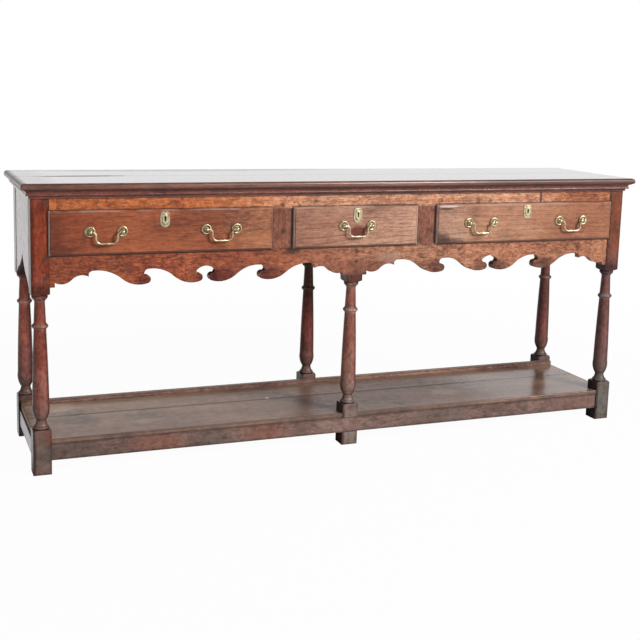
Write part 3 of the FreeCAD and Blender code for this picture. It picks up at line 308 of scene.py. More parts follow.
def build_edge_distance():
    """Distance to a box's nearest edge: the second smallest distance to its three pairs of faces."""
    w, given, out = new_group("edge distance", "Vector Low High", "Distance")
    inside = w.vector("MINIMUM", w.vector("SUBTRACT", given["Vector"], given["Low"]),
                      w.vector("SUBTRACT", given["High"], given["Vector"]))
    x, y, z = w.parts(inside)
    third = w.smaller(w.larger(x, y), z)
    w.feed(out["Distance"], w.larger(w.smaller(x, y), third))


def build_soft_spot():
    """Mask of an oval spot: 1 inside, falling to 0 at its ragged edge."""
    w, given, out = new_group("soft spot", "Vector Centre Size Ragged", "Mask")
    place = given["Vector"]
    offset = w.vector("DIVIDE", w.vector("SUBTRACT", place, given["Centre"]), given["Size"])
    rough = w.centred(w.noise(place, 70.0, detail=3.0))
    reach = w.plus(w.length(offset), w.times(rough, given["Ragged"]))
    w.feed(out["Mask"], w.ramp(reach, 1.0, 0.4))


def build_drawer_gap(oak):
    """Mask of the dark band on the frame round the drawer lips, partly dirt and partly the lips' painted
    shadow, from the lips' own boxes.
    """
    w, given, out = new_group("drawer gap", "Vector", "Mask")
    place = given["Vector"]
    low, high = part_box("drawer_right_front")
    centre_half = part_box("drawer_centre_front")[1].x
    middle, half = (low + high) / 2, (high - low) / 2
    x, _, z = w.parts(place)
    across = w.math("ABSOLUTE", x)
    beside = w.minus(w.distance(across, middle.x), half.x)
    along = w.smaller(beside, w.minus(across, centre_half))
    over = w.minus(w.distance(z, middle.z), half.z)
    rough = w.centred(w.noise(place, 60.0, detail=3.0))
    gap = w.plus(w.larger(along, over), w.times(rough, oak.gap_dirt_and_shade_width))
    w.feed(out["Mask"], w.ramp(gap, oak.gap_dirt_and_shade_width, 0.0))


def build_drawer_lip(oak):
    """Masks of a drawer's lip from the distances to its edges: sides partly rubbed and partly painted
    highlight, top painted highlight, foot painted shade, dirty line.
    """
    w, given, out = new_group("drawer lip", "Vector Low High Right", "Pale Dull Quirk")
    place = given["Vector"]
    left, _, below = w.parts(w.vector("SUBTRACT", place, given["Low"]))
    right, _, above = w.parts(w.vector("SUBTRACT", given["High"], place))
    rough = w.times(w.centred(w.noise(place, 50.0, detail=3.0)), 0.004)
    sides = w.plus(w.smaller(left, right), rough)
    # Pale sides: partly rubbed, partly painted highlight
    side_share = w.ramp(w.minus(left, right), 0.0, 0.01, 1.0, given["Right"])
    pale_sides = w.times(w.ramp(sides, oak.lip_width, oak.lip_width * 0.6), side_share)
    # Painted highlight along the top of the lip, broken into patches
    top_highlight = w.ramp(w.plus(above, rough), oak.lip_width, oak.lip_width * 0.5, 0.0, 0.6)
    top_highlight_patches = w.ramp(w.noise(place, 13.0), 0.36, 0.58)
    w.feed(out["Pale"], w.larger(pale_sides, w.times(top_highlight, top_highlight_patches)))
    # Painted shade along the foot of the lip
    w.feed(out["Dull"], w.ramp(w.plus(below, rough), oak.lip_width * 1.6, oak.lip_width * 0.7))
    off = w.distance(w.smaller(sides, below), oak.lip_width)
    w.feed(out["Quirk"], w.ramp(off, 0.0018, 0.0006, 0.0, 0.6))


DEEP_TINT = (0.46, 0.34, 0.32)
PALE_TINT = (1.35, 1.32, 1.25)
RUBBED_TINT = (1.9, 1.8, 1.7)


def build_old_surface(oak):
    """Age on a board: dirt near edges, rubbed edges, blotches, specks, small dark holes and uneven gloss."""
    w, given, out = new_group("old surface", "Color Vector Edge Dirt Wear Specks Blotch Roughness",
                              "Color Roughness")
    place = given["Vector"]
    uneven = w.centred(w.noise(place, 38.0, detail=4.0, roughness=0.6))
    edge = w.plus(given["Edge"], w.times(uneven, 0.012))
    dirt = w.times(w.ramp(edge, oak.dirt_width, 0.0), given["Dirt"])
    rubbed = w.times(w.ramp(given["Edge"], oak.wear_width, 0.0), given["Wear"])
    rubbed = w.times(rubbed, w.ramp(w.noise(place, 22.0, detail=3.0), 0.42, 0.58))
    cells = w.add("ShaderNodeTexVoronoi", {"Vector": place, "Scale": 30.0})
    chosen = w.ramp(w.add("ShaderNodeSeparateColor", {0: cells.outputs["Color"]}).outputs[0], 0.62, 0.7)
    holes = w.times(w.ramp(cells.outputs["Distance"], 0.075, 0.035), chosen)
    stains = w.ramp(w.noise(place, (9.0, 9.0, 13.0), detail=4.0, roughness=0.62), 0.52, 0.72)
    specks = w.ramp(w.noise(place, 330.0, roughness=0.6), 0.53, 0.68)
    patches = w.ramp(w.noise(place, (26.0, 26.0, 40.0)), 0.38, 0.62)
    specks = w.times(w.times(specks, patches), given["Specks"])
    deep = w.noise(place, (34.0, 34.0, 46.0), detail=5.0, roughness=0.68, distortion=0.5)
    deep = w.ramp(deep, 0.47, 0.7)
    pale = w.ramp(w.noise(place, (41.0, 41.0, 37.0), detail=4.0, roughness=0.62), 0.5, 0.72)
    colour = w.cover(given["Color"], deep, given["Blotch"], DEEP_TINT, "MULTIPLY")
    colour = w.cover(colour, pale, given["Blotch"], PALE_TINT, "MULTIPLY")
    colour = w.cover(colour, stains, 0.35, oak.dirt)
    colour = w.cover(colour, specks, 0.7, oak.vein)
    colour = w.cover(colour, dirt, 0.85, oak.dirt)
    bright = w.mix(1.0, colour, opaque(RUBBED_TINT), "MULTIPLY")
    colour = w.mix(w.times(rubbed, 0.5), colour, bright)
    w.feed(out["Color"], w.cover(colour, holes, 0.75, oak.dirt))
    rough = w.plus(given["Roughness"], w.times(uneven, given["Roughness"]))
    w.feed(out["Roughness"], w.plus(rough, w.times(dirt, 0.2), clamp=True))


# Finishes

WAX_IOR = 1.5
COAT_ROUGHNESS = 0.18
# Painted shade: tint that darkens the posts towards their outline, by the angle at which they are seen
RIM_SHADE_TINT = (0.3, 0.16, 0.16)
# Strength of the dark band round the drawer lips, partly dirt and partly painted shadow
GAP_DIRT_AND_SHADE_STRENGTH = 0.85
POLISH_RAGGED = 0.3
# Metres along the grain from one board's pattern to the next
SEED_STEP = 1.7
GRAIN_TURN = {"X": (0.0, 0.0, 0.0), "Y": (0.0, 0.0, -90.0), "Z": (0.0, 90.0, 0.0)}


class Polish(NamedTuple):
    """Oval place where the roughness and the coat are each multiplied by a factor."""

    centre: tuple
    size: tuple
    rough: float
    coat: float = 1.0


class Mark(NamedTuple):
    """Oval stain or rubbed place, by its centre and half sizes in metres; it can cover or tint the wood."""

    colour: tuple
    centre: tuple
    size: tuple
    strength: float
    ragged: float = 0.6
    blend: str = "MIX"

    def polish(self, rough, coat):
        """Change of gloss over the same place."""
        return Polish(self.centre, self.size, rough, coat)


def tint(factors, centre, size, strength=1.0, ragged=0.3):
    """Mark that multiplies the colour of the wood."""
    return Mark(factors, centre, size, strength, ragged, "MULTIPLY")


def shaded(colour, factors):
    return tuple(share * factor for share, factor in zip(colour, factors))


class Board(NamedTuple):
    """How a board was cut from the tree and how its surface has aged.

    The heart line's way from the middle, the ring, the wander and the relief are in metres, the tilt is in
    degrees, and the other numbers are strengths.
    """

    light: tuple
    dark: tuple
    heart: tuple
    grain: str = "X"
    tilt: tuple = (0.0, 0.0, 0.0)
    ring: float = 0.007
    wander: float = 0.007
    fleck: float = 0.0
    streak: float = 0.5
    mottle: float = 1.6
    vein: float = 0.6
    gloss: float = 0.4
    coat: float = 0.0
    relief: float = 0.0002
    dirt: float = 0.45
    wear: float = 0.5
    specks: float = 0.4
    blotch: float = 0.2
    specular: float = 0.3
    lip: float = 0.0
    lip_right: float = 1.0
    # Strength of the painted shade that darkens a piece towards its outline as seen
    rim_shade: float = 0.0
    gap: bool = False
    polish: tuple = ()
    marks: tuple = ()


def new_material(name):
    """Material with an empty tree; gives both."""
    material = bpy.data.materials.new(name)
    material.use_nodes = True
    material.node_tree.nodes.clear()
    return material, Tree(material.node_tree)


def finish_surface(w, inputs, bump_height, bump_depth):
    """Principled shader with a bump, joined to the material's output."""
    shader = w.add("ShaderNodeBsdfPrincipled", inputs)
    bump = w.add("ShaderNodeBump", {"Height": bump_height, "Distance": bump_depth, "Strength": 1.0})
    w.feed(shader.inputs["Normal"], bump.outputs[0])
    output = w.add("ShaderNodeOutputMaterial")
    w.feed(output.inputs["Surface"], shader.outputs[0])


def oak_material(name, node, board, oak, seed):
    """Waxed oak for one board: grain about its own heart line, then marks, dirt and wear."""
    material, w = new_material(name)
    place = w.place()
    low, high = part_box(node)
    turn = Euler([math.radians(a + b) for a, b in zip(GRAIN_TURN[board.grain], board.tilt)])
    heart = (low + high) / 2 + Vector(board.heart)
    shift = Vector((seed, 0.0, 0.0)) - turn.to_matrix() @ heart
    turned = w.add("ShaderNodeMapping", {"Vector": place, "Location": shift, "Rotation": turn}).outputs[0]
    cut = w.group("oak grain", vector=turned, ring=board.ring, wander=board.wander, fleck=board.fleck,
                  streak=board.streak, mottle=board.mottle)
    colour = w.mix(cut["Tone"], opaque(board.dark), opaque(board.light))
    colour = w.cover(colour, cut["Vein"], board.vein, oak.vein)
    for mark in board.marks:
        spot = w.group("soft spot", vector=place, centre=mark.centre, size=mark.size, ragged=mark.ragged)
        colour = w.cover(colour, spot["Mask"], mark.strength, mark.colour, mark.blend)
    if board.lip:
        # Painted shade on the lip's foot, a dirty line, and pale sides and top, partly rubbed and partly
        # painted highlight
        lip = w.group("drawer lip", vector=place, low=low, high=high, right=board.lip_right)
        colour = w.cover(colour, lip["Dull"], board.lip, oak.lip_foot_shade)
        colour = w.cover(colour, lip["Quirk"], board.lip, oak.dirt)
        colour = w.cover(colour, lip["Pale"], board.lip, oak.lip)
    # Dark band round the drawer lips: partly dirt, partly painted shadow of the lips
    if board.gap:
        border = w.group("drawer gap", vector=place)["Mask"]
        colour = w.cover(colour, border, GAP_DIRT_AND_SHADE_STRENGTH, oak.dirt)
    edge = w.group("edge distance", vector=place, low=low, high=high)["Distance"]
    aged = w.group("old surface", color=colour, vector=place, edge=edge, dirt=board.dirt, wear=board.wear,
                   specks=board.specks, blotch=board.blotch, roughness=board.gloss)
    colour = aged["Color"]
    # Painted shade: darker towards the outline, by the angle between the surface and the view
    if board.rim_shade:
        facing = w.add("ShaderNodeLayerWeight", {"Blend": 0.5}).outputs["Facing"]
        rim_shade = w.ramp(facing, 0.15, 0.65, 0.0, board.rim_shade)
        colour = w.mix(rim_shade, colour, opaque(RIM_SHADE_TINT), "MULTIPLY")
    rough, coat = aged["Roughness"], board.coat
    for patch in board.polish:
        spot = w.group("soft spot", vector=place, centre=patch.centre, size=patch.size,
                       ragged=POLISH_RAGGED)["Mask"]
        rough = w.times(rough, w.ramp(spot, 0.0, 1.0, 1.0, patch.rough))
        if board.coat:
            coat = w.times(coat, w.ramp(spot, 0.0, 1.0, 1.0, patch.coat))
    finish_surface(w, {"Base Color": colour, "Roughness": rough, "IOR": WAX_IOR,
                       "Specular IOR Level": board.specular, "Coat Weight": coat,
                       "Coat Roughness": COAT_ROUGHNESS}, cut["Height"], board.relief)
    return material


def dress(node, material):
    """Put one material on a CAD node."""
    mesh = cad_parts[node].data
    mesh.materials.clear()
    mesh.materials.append(material)


def dress_all(starts, material):
    """Put one material on every CAD node whose name starts in a given way."""
    nodes = [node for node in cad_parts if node.startswith(starts)]
    if not nodes:
        raise RuntimeError(f"no node starts with {starts}")
    for node in nodes:
        dress(node, material)


def dress_oak(context, boards):
    """Give each node in a dict of boards its own oak."""
    oak = context.scene.dresser_oak
    for node, board in boards.items():
        seed = SEED_STEP * (sorted(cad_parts).index(node) + 1)
        dress(node, oak_material(f"oak {node.replace('_', ' ')}", node, board, oak, seed))


def brass_material(name, metal, hollow, reach, tarnished=0.45):
    """Cast brass rubbed bright, with tarnish in the hollows within reach of the plane y = hollow."""
    material, w = new_material(name)
    place = w.place()
    cloud = w.noise(place, 140.0, detail=4.0, roughness=0.62)
    fine = w.noise(place, 900.0)
    near_wood = w.ramp(w.parts(place)[1], hollow - reach, hollow - 0.25 * reach)
    dull = w.plus(w.times(w.ramp(cloud, 0.4, 0.66), tarnished), w.times(near_wood, 0.6), clamp=True)
    colour = w.mix(dull, opaque(metal.brass), opaque(metal.tarnish))
    rough = w.plus(metal.brass_roughness, w.times(dull, 0.22))
    finish_surface(w, {"Base Color": colour, "Metallic": 1.0, "Roughness": rough}, fine, 0.00008)
    return material


def iron_material(name, metal):
    """Blackened iron with patches of rust."""
    material, w = new_material(name)
    cloud = w.noise(w.place(), 90.0, detail=5.0, roughness=0.65)
    colour = w.mix(w.ramp(cloud, 0.45, 0.65), opaque(metal.iron), opaque(metal.rust))
    rough = w.ramp(cloud, 0.3, 0.7, 0.4, 0.75)
    finish_surface(w, {"Base Color": colour, "Metallic": 0.7, "Roughness": rough}, cloud, 0.0003)
    return material


def peg_material(name, oak):
    """End grain of the pegs: dark, with open pores, and browner away from the left end."""
    material, w = new_material(name)
    place = w.place()
    pores = w.noise(place, (700.0, 60.0, 700.0))
    cloud = w.noise(place, 120.0, detail=3.0)
    colour = w.mix(w.ramp(pores, 0.35, 0.65), opaque(oak.dirt), opaque(oak.muntin_dark))
    colour = w.mix(w.ramp(cloud, 0.45, 0.7), colour, opaque(oak.vein))
    across = w.parts(place)[0]
    colour = w.mix(w.ramp(across, -0.5, -0.2, 0.0, 0.55), colour, opaque(oak.muntin_dark))
    rough = w.ramp(cloud, 0.3, 0.7, 0.45, 0.65)
    finish_surface(w, {"Base Color": colour, "Roughness": rough}, pores, 0.0003)
    return material


# Pieces of the dresser

# Half size of a mark that runs past the whole dresser
ENDLESS = 9.0
BLOCK_HEIGHT = 0.69
SHOULDER_HEIGHT = 0.534
RING_HEIGHTS = (0.137, 0.433, 0.513)
LOWER_LEG_HEIGHT = 0.23


class PostColours(NamedTuple):
    """Tints of a post's block, leg and lower leg, colour of its foot, and reach of the block's tint."""

    block: tuple
    leg: tuple
    low: tuple
    foot: tuple = card(115, 102, 95)
    reach: float = 0.17


# The dark block tints of the back posts are painted shade under the carcass.
# The greyish leg and lower leg tints are partly the wood's colour and partly painted sheen.
POSTS = {
    "front_post_left": PostColours((1.06, 0.92, 1.05), (1.00, 1.24, 2.15), (1.3, 1.68, 1.95),
                                   card(114, 99, 91)),
    "front_post_centre": PostColours((0.5, 0.65, 1.22), (1.18, 2.02, 3.75), (1.15, 1.36, 1.44),
                                     card(130, 120, 113)),
    "front_post_right": PostColours((0.64, 0.91, 1.28), (0.64, 1.26, 2.95), (1.02, 1.1, 1.13),
                                    card(106, 102, 96)),
    "back_post_left": PostColours((0.4, 0.42, 0.5), (1.72, 2.3, 4.35), (0.64, 0.78, 0.9),
                                  card(52, 67, 63), 0.29),
    "back_post_centre": PostColours((0.42, 0.75, 1.35), (0.8, 0.92, 1.75), (1.08, 1.2, 1.34), reach=0.42),
    "back_post_right": PostColours((0.14, 0.16, 0.2), (0.56, 0.88, 2.05), (1.38, 1.32, 1.3), reach=0.21),
}


class DRESSER_OT_posts(bpy.types.Operator):
    """Finish the six turned posts"""

    bl_idname = "dresser.posts"
    bl_label = "Posts"

    def execute(self, context):
        oak = context.scene.dresser_oak
        boards = {}
        for node, post in POSTS.items():
            low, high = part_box(node)
            x, y, _ = (low + high) / 2
            leg_low = tint(post.low, (x, y, LOWER_LEG_HEIGHT), (0.3, 0.3, 0.11))
            block = [block / leg for block, leg in zip(post.block, post.leg)]
            # The block's tint; on the back posts it is painted shade under the carcass
            upper = tint(block, (x, y, BLOCK_HEIGHT), (0.3, 0.3, post.reach))
            # Painted shade: a dark band just under the block
            shoulder_shade = tint((0.26, 0.22, 0.23), (x, y, SHOULDER_HEIGHT), (0.06, 0.06, 0.036), 0.9, 0.5)
            # Paler rings: partly rubbed, partly a painted highlight on the rings
            rings = [tint((1.55, 2.7, 3.3), (x, y, z), (0.06, 0.06, 0.013), 0.9) for z in RING_HEIGHTS]
            shade = tint((0.42, 0.37, 0.38), (low.x, y, 0.66), (0.018, 0.1, 0.22), 0.9, 0.9)
            foot = Mark(post.foot, (x, y, 0.0), (0.3, 0.3, 0.28), 0.8)
            # Painted shade on the left side of the foot
            foot_side_shade = tint((0.34, 0.3, 0.3), (low.x, y, 0.05), (0.012, 0.3, 0.14), 0.9, 0.6)
            mossy = tint((1.02, 1.18, 1.22), (x, low.y, 0.055), (0.03, 0.02, 0.05), 0.9, 1.0)
            board = Board(shaded(oak.post_light, post.leg), shaded(oak.post_dark, post.leg), grain="Z",
                          heart=(0.02, 0.03, 0.0), tilt=(0.0, 1.0, 0.6), ring=0.006, vein=0.12, rim_shade=0.85,
                          streak=0.25, mottle=2.2, gloss=0.25, specular=0.16, blotch=0.6,
                          gap=node.startswith("front"),
                          marks=(leg_low, upper, shoulder_shade, *rings, shade, foot, foot_side_shade, mossy))
            if node == "front_post_left":
                ruddy = tint((1.15, 0.72, 0.66), (high.x, low.y, 0.115), (0.034, 0.02, 0.05), 0.8, 0.9)
                board = board._replace(marks=(*board.marks, ruddy))
            elif node == "back_post_left":
                # Painted reflection: a pale strip down the front left edge of the block
                rubbed = Mark(card(214, 206, 200), (low.x, low.y, 0.68), (0.006, 0.02, 0.2), 0.9, 0.3)
                # Painted shade down the right side of the leg
                right_side_shade = tint((0.45, 0.47, 0.52), (high.x, y, 0.33), (0.03, 0.2, 0.28))
                uncoated = Polish((x, y, 0.25), (0.3, 0.3, 0.4), 1.0, 0.0)
                board = board._replace(coat=0.4, polish=(uncoated,), marks=(*board.marks, rubbed, right_side_shade))
            boards[node] = board
        dress_oak(context, boards)
        return {"FINISHED"}


class DRESSER_OT_top(bpy.types.Operator):
    """Finish the top planks and the cornice under them"""

    bl_idname = "dresser.top"
    bl_label = "Top and cornice"

    def execute(self, context):
        oak = context.scene.dresser_oak
        low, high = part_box("top_plank_front")
        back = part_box("top_plank_back")[1].y
        end = tint((1.3, 1.5, 1.7), (low.x, 0.0, low.z), (0.022, ENDLESS, 0.2), ragged=0.2)
        nosing = tint((1.7, 1.5, 1.45), (0.0, low.y, low.z), (ENDLESS, 0.012, 0.2), ragged=0.2)
        shaded_nosing = tint((0.5, 0.47, 0.45), (0.95, low.y, low.z), (0.8, 0.02, 0.2))
        joint = Mark(oak.dirt[:], (-0.8, high.y, high.z), (0.17, 0.017, 0.05), 0.95, 0.4)
        dull_back = Polish((-0.45, back, high.z), (0.75, 0.1, 0.05), 1.5, 0.4)
        dull_end = Polish((low.x, 0.0, high.z), (0.14, 0.5, 0.05), 1.3, 0.72)
        plank = Board(oak.top_light, oak.top_dark, heart=(0.0, 0.05, -0.09), tilt=(0.0, 1.2, 0.5),
                      gloss=0.12, coat=0.7, relief=0.00002, wear=0.8, specular=0.5,
                      polish=(end.polish(2.0, 0.5), nosing.polish(2.0, 0.4), shaded_nosing.polish(1.6, 0.3),
                              joint.polish(8.0, 0.0), dull_back, dull_end),
                      marks=(end, nosing, shaded_nosing, joint))
        warm = (1.5, 1.02, 0.96)
        moulding = Board(shaded(oak.top_light, warm), shaded(oak.top_dark, warm), heart=(0.0, 0.04, -0.05),
                         gloss=0.26, specular=0.5, coat=0.1, dirt=0.6)
        returns = moulding._replace(grain="Y", heart=(0.04, 0.0, -0.05), gloss=0.2, coat=0.35, dirt=0.2)
        dress_oak(context, {"top_plank_front": plank, "top_plank_back": plank, "cornice_front": moulding,
                            "cornice_returns": returns})
        return {"FINISHED"}


class DRESSER_OT_frieze(bpy.types.Operator):
    """Finish the rail over the drawers"""

    bl_idname = "dresser.frieze"
    bl_label = "Frieze rail"

    def execute(self, context):
        oak = context.scene.dresser_oak
        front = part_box("frieze_rail")[0].y
        seam = Mark(oak.dirt[:], (0.657, front, 0.778), (0.006, 0.05, 0.06), 0.8, 0.2)
        # Darker and redder towards the ends: partly the wood's colour, partly painted shade where the front's
        # sheen fades
        left = tint((0.74, 0.42, 0.22), (-0.85, front, 0.79), (0.85, 0.3, 0.3))
        right = tint((0.66, 0.46, 0.34), (0.95, front, 0.79), (0.36, 0.3, 0.3))
        spots = [Mark(card(96, 58, 44), (x, front, z), (0.012, 0.05, 0.008), 0.7, 0.9)
                 for x, z in ((-0.241, 0.768), (-0.135, 0.778), (0.29, 0.775), (0.47, 0.772))]
        rail = Board(oak.frieze_light, oak.frieze_dark, heart=(0.0, 0.12, -0.01), tilt=(0.0, 0.3, 0.8),
                     ring=0.005, fleck=0.5, mottle=3.6, vein=0.3, specks=0.7, blotch=1.0, gap=True,
                     marks=(left, right, seam, *spots))
        dress_oak(context, {"frieze_rail": rail})
        return {"FINISHED"}


class DRESSER_OT_apron(bpy.types.Operator):
    """Finish the scroll-cut apron, dark round its scrolls"""

    bl_idname = "dresser.apron"
    bl_label = "Apron"

    def execute(self, context):
        oak = context.scene.dresser_oak
        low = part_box("apron")[0]
        front, foot = low.y, low.z
        tips = [tint((red, 0.31, 0.37), (x, front, foot + 0.01), (0.06, 0.08, 0.04), 0.9, 1.0)
                for red, x in ((0.5, -0.64), (0.5, -0.47), (0.5, -0.43), (0.42, -0.278), (0.42, 0.297),
                               (0.36, 0.46), (0.34, 0.51), (0.34, 0.673))]
        # Darker and redder towards the ends: partly the wood's colour, partly painted shade where the front's
        # sheen fades
        left = tint((0.8, 0.46, 0.34), (-0.8, front, 0.6), (1.0, 0.5, 0.5))
        far_left_tone_and_shade = tint((0.88, 0.82, 0.8), (-0.95, front, 0.6), (0.22, 0.5, 0.5))
        right = tint((1.02, 0.91, 0.84), (0.85, front, 0.6), (0.7, 0.5, 0.5))
        bright = tint((1.25, 1.22, 1.15), (-0.62, front, 0.62), (0.16, 0.2, 0.2))
        reddish = tint((0.85, 0.82, 0.84), (-0.36, front, 0.62), (0.18, 0.2, 0.2))
        middle = Mark(card(120, 66, 52), (0.0, front, foot + 0.01), (0.24, 0.1, 0.06), 0.6)
        faded = Mark(card(156, 122, 110), (0.119, front, 0.598), (0.05, 0.05, 0.025), 0.6, 0.9)
        # Painted shadow of the centre drawer's lip at its lower left corner
        corner = Mark(card(52, 34, 30), (-0.205, front, 0.634), (0.03, 0.05, 0.024), 0.8, 0.7)
        apron = Board(oak.apron_light, oak.apron_dark, heart=(0.0, 0.1, 0.05), tilt=(0.0, 0.4, 1.0),
                      ring=0.006, fleck=0.3, streak=0.35, mottle=4.6, vein=0.2, specks=1.2, blotch=0.9,
                      gap=True,
                      marks=(left, far_left_tone_and_shade, right, bright, reddish, middle, *tips, faded, corner))
        dress_oak(context, {"apron": apron})
        return {"FINISHED"}


class DRESSER_OT_muntins(bpy.types.Operator):
    """Finish the uprights between the drawers"""

    bl_idname = "dresser.muntins"
    bl_label = "Muntins"

    def execute(self, context):
        oak = context.scene.dresser_oak
        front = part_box("muntin_left")[0].y
        upright = Board(oak.muntin_light, oak.muntin_dark, grain="Z", heart=(0.01, 0.05, 0.0),
                        tilt=(0.0, 1.5, 1.0), ring=0.006, fleck=0.3, streak=0.2, mottle=3.0, vein=0.12,
                        specks=0.9, blotch=0.55, gap=True)
        shadows = [tint((0.15, 0.13, 0.13), (x, front, 0.698), (0.01, 0.1, 0.3), ragged=0.2)
                   for x in (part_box("drawer_centre_front")[0].x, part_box("drawer_right_front")[0].x)]
        knot = Mark(card(70, 44, 36), (-0.239, front, 0.689), (0.012, 0.05, 0.016), 0.7, 0.8)
        paler = tint((1.04, 1.1, 1.14), (0.24, front, 0.7), (0.2, 0.3, 0.3))
        dress_oak(context, {"muntin_left": upright._replace(marks=(knot, shadows[0])),
                            "muntin_right": upright._replace(marks=(paler, shadows[1]))})
        return {"FINISHED"}


class DRESSER_OT_end_panels(bpy.types.Operator):
    """Finish the arched end panels"""

    bl_idname = "dresser.end_panels"
    bl_label = "End panels"

    def execute(self, context):
        oak = context.scene.dresser_oak
        boards = {}
        for node, side in (("end_panel_left", -1), ("end_panel_right", 1)):
            # Painted shade: near black on the inner part of the panel round its arch
            arch_shade = Mark(card(24, 18, 16), (side * 0.966, 0.02, 0.57), (0.0125, 0.4, 0.14), 1.0, 0.2)
            boards[node] = Board(oak.end_light, oak.end_dark, grain="Y", heart=(0.06, 0.0, 0.02),
                                 tilt=(0.5, 0.0, 1.0), gloss=0.2, coat=0.25, relief=0.00003, dirt=0.15,
                                 specular=0.42, marks=(arch_shade,), polish=(arch_shade.polish(3.0, 0.0),))
        dress_oak(context, boards)
        return {"FINISHED"}


class DRESSER_OT_linings(bpy.types.Operator):
    """Finish the bare wood behind and inside: back board, runners and drawer boxes"""

    bl_idname = "dresser.linings"
    bl_label = "Linings"

    def execute(self, context):
        oak = context.scene.dresser_oak
        bare = Board(oak.lining_light, oak.lining_dark, heart=(0.0, 0.05, 0.03), gloss=0.72, wear=0.2)
        deep = bare._replace(grain="Y", heart=(0.05, 0.0, 0.03))
        boards = {"back_board": bare, "end_runners": deep, "muntin_runners": deep}
        for side in ("left", "centre", "right"):
            boards[f"drawer_{side}_back"] = bare
            boards[f"drawer_{side}_bottom"] = deep._replace(heart=(0.02, 0.0, -0.06), tilt=(1.0, 0.0, 0.0))
            for hand in ("left", "right"):
                boards[f"drawer_{side}_side_{hand}"] = deep
        dress_oak(context, boards)
        return {"FINISHED"}


class DRESSER_OT_potboard(bpy.types.Operator):
    """Finish the potboard: scrubbed planks, rails, bearer and the lath at the back"""

    bl_idname = "dresser.potboard"
    bl_label = "Potboard"

    def execute(self, context):
        oak = context.scene.dresser_oak
        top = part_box("potboard_plank_front")[1].z
        stains = [Mark(card(*rgb), (x, y, top), (across, along, 0.02), strength, ragged)
                  for rgb, x, y, across, along, strength, ragged in (
                      ((238, 232, 226), -0.201, 0.024, 0.008, 0.012, 1.0, 0.3),
                      ((158, 136, 118), 0.407, -0.075, 0.07, 0.05, 0.5, 0.9),
                      ((172, 148, 130), -0.634, -0.095, 0.06, 0.03, 0.5, 1.2),
                      ((80, 66, 60), -0.836, -0.036, 0.12, 0.06, 0.5, 0.9),
                      ((44, 34, 30), 0.612, 0.024, 0.035, 0.012, 0.8, 0.6),
                      ((70, 55, 48), 0.372, 0.051, 0.14, 0.014, 0.5, 0.6))]
        lighter = tint((1.4, 1.58, 1.64), (-0.95, 0.25, top), (0.85, 0.45, 0.2))
        darker = tint((0.53, 0.45, 0.42), (0.25, -0.04, top), (0.52, 0.19, 0.2))
        corner = tint((1.5, 1.62, 1.68), (-0.88, 0.1, top), (0.09, 0.11, 0.2), ragged=0.6)
        glossy = Polish((0.95, 0.0, 0.1), (0.62, 0.8, 0.5), 0.45)
        plank = Board(oak.potboard_light, oak.potboard_dark, heart=(0.0, 0.03, -0.08), tilt=(0.0, 1.0, 0.6),
                      relief=0.00005, dirt=0.65, wear=0.6, blotch=0.15, specular=0.5, streak=0.3, mottle=1.0,
                      vein=0.2, marks=(lighter, darker, corner, *stains), polish=(glossy,))
        rail_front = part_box("potboard_rail_front")[0].y
        patches = [Mark(card(*rgb), (x, rail_front, 0.066), (reach, 0.05, 0.035), 0.6, 1.0)
                   for rgb, x, reach in (((92, 80, 72), -0.86, 0.1), ((140, 88, 72), -0.62, 0.12),
                                         ((138, 86, 70), -0.28, 0.1), ((98, 86, 80), -0.45, 0.09),
                                         ((104, 92, 84), 0.32, 0.14), ((118, 86, 75), 0.84, 0.14))]
        rail = plank._replace(light=oak.rail_light, dark=oak.rail_dark, heart=(0.0, 0.06, -0.01), gloss=0.42,
                              relief=0.0002, blotch=0.7, specks=0.8, specular=0.3, mottle=2.6, marks=patches,
                              polish=())
        cross = rail._replace(grain="Y", heart=(0.06, 0.0, -0.01), gloss=0.25, coat=0.2, marks=())
        dim = tint((0.78, 0.78, 0.8), (-0.9, 0.16, 0.11), (0.7, 0.3, 0.2))
        lath = rail._replace(light=oak.lath_light, dark=oak.lath_dark, marks=(dim,))
        dress_oak(context, {"potboard_plank_front": plank, "potboard_plank_back": plank,
                            "potboard_rail_front": rail, "potboard_rail_back": rail, "potboard_lath": lath,
                            "potboard_end_rails": cross, "potboard_bearer": cross})
        return {"FINISHED"}


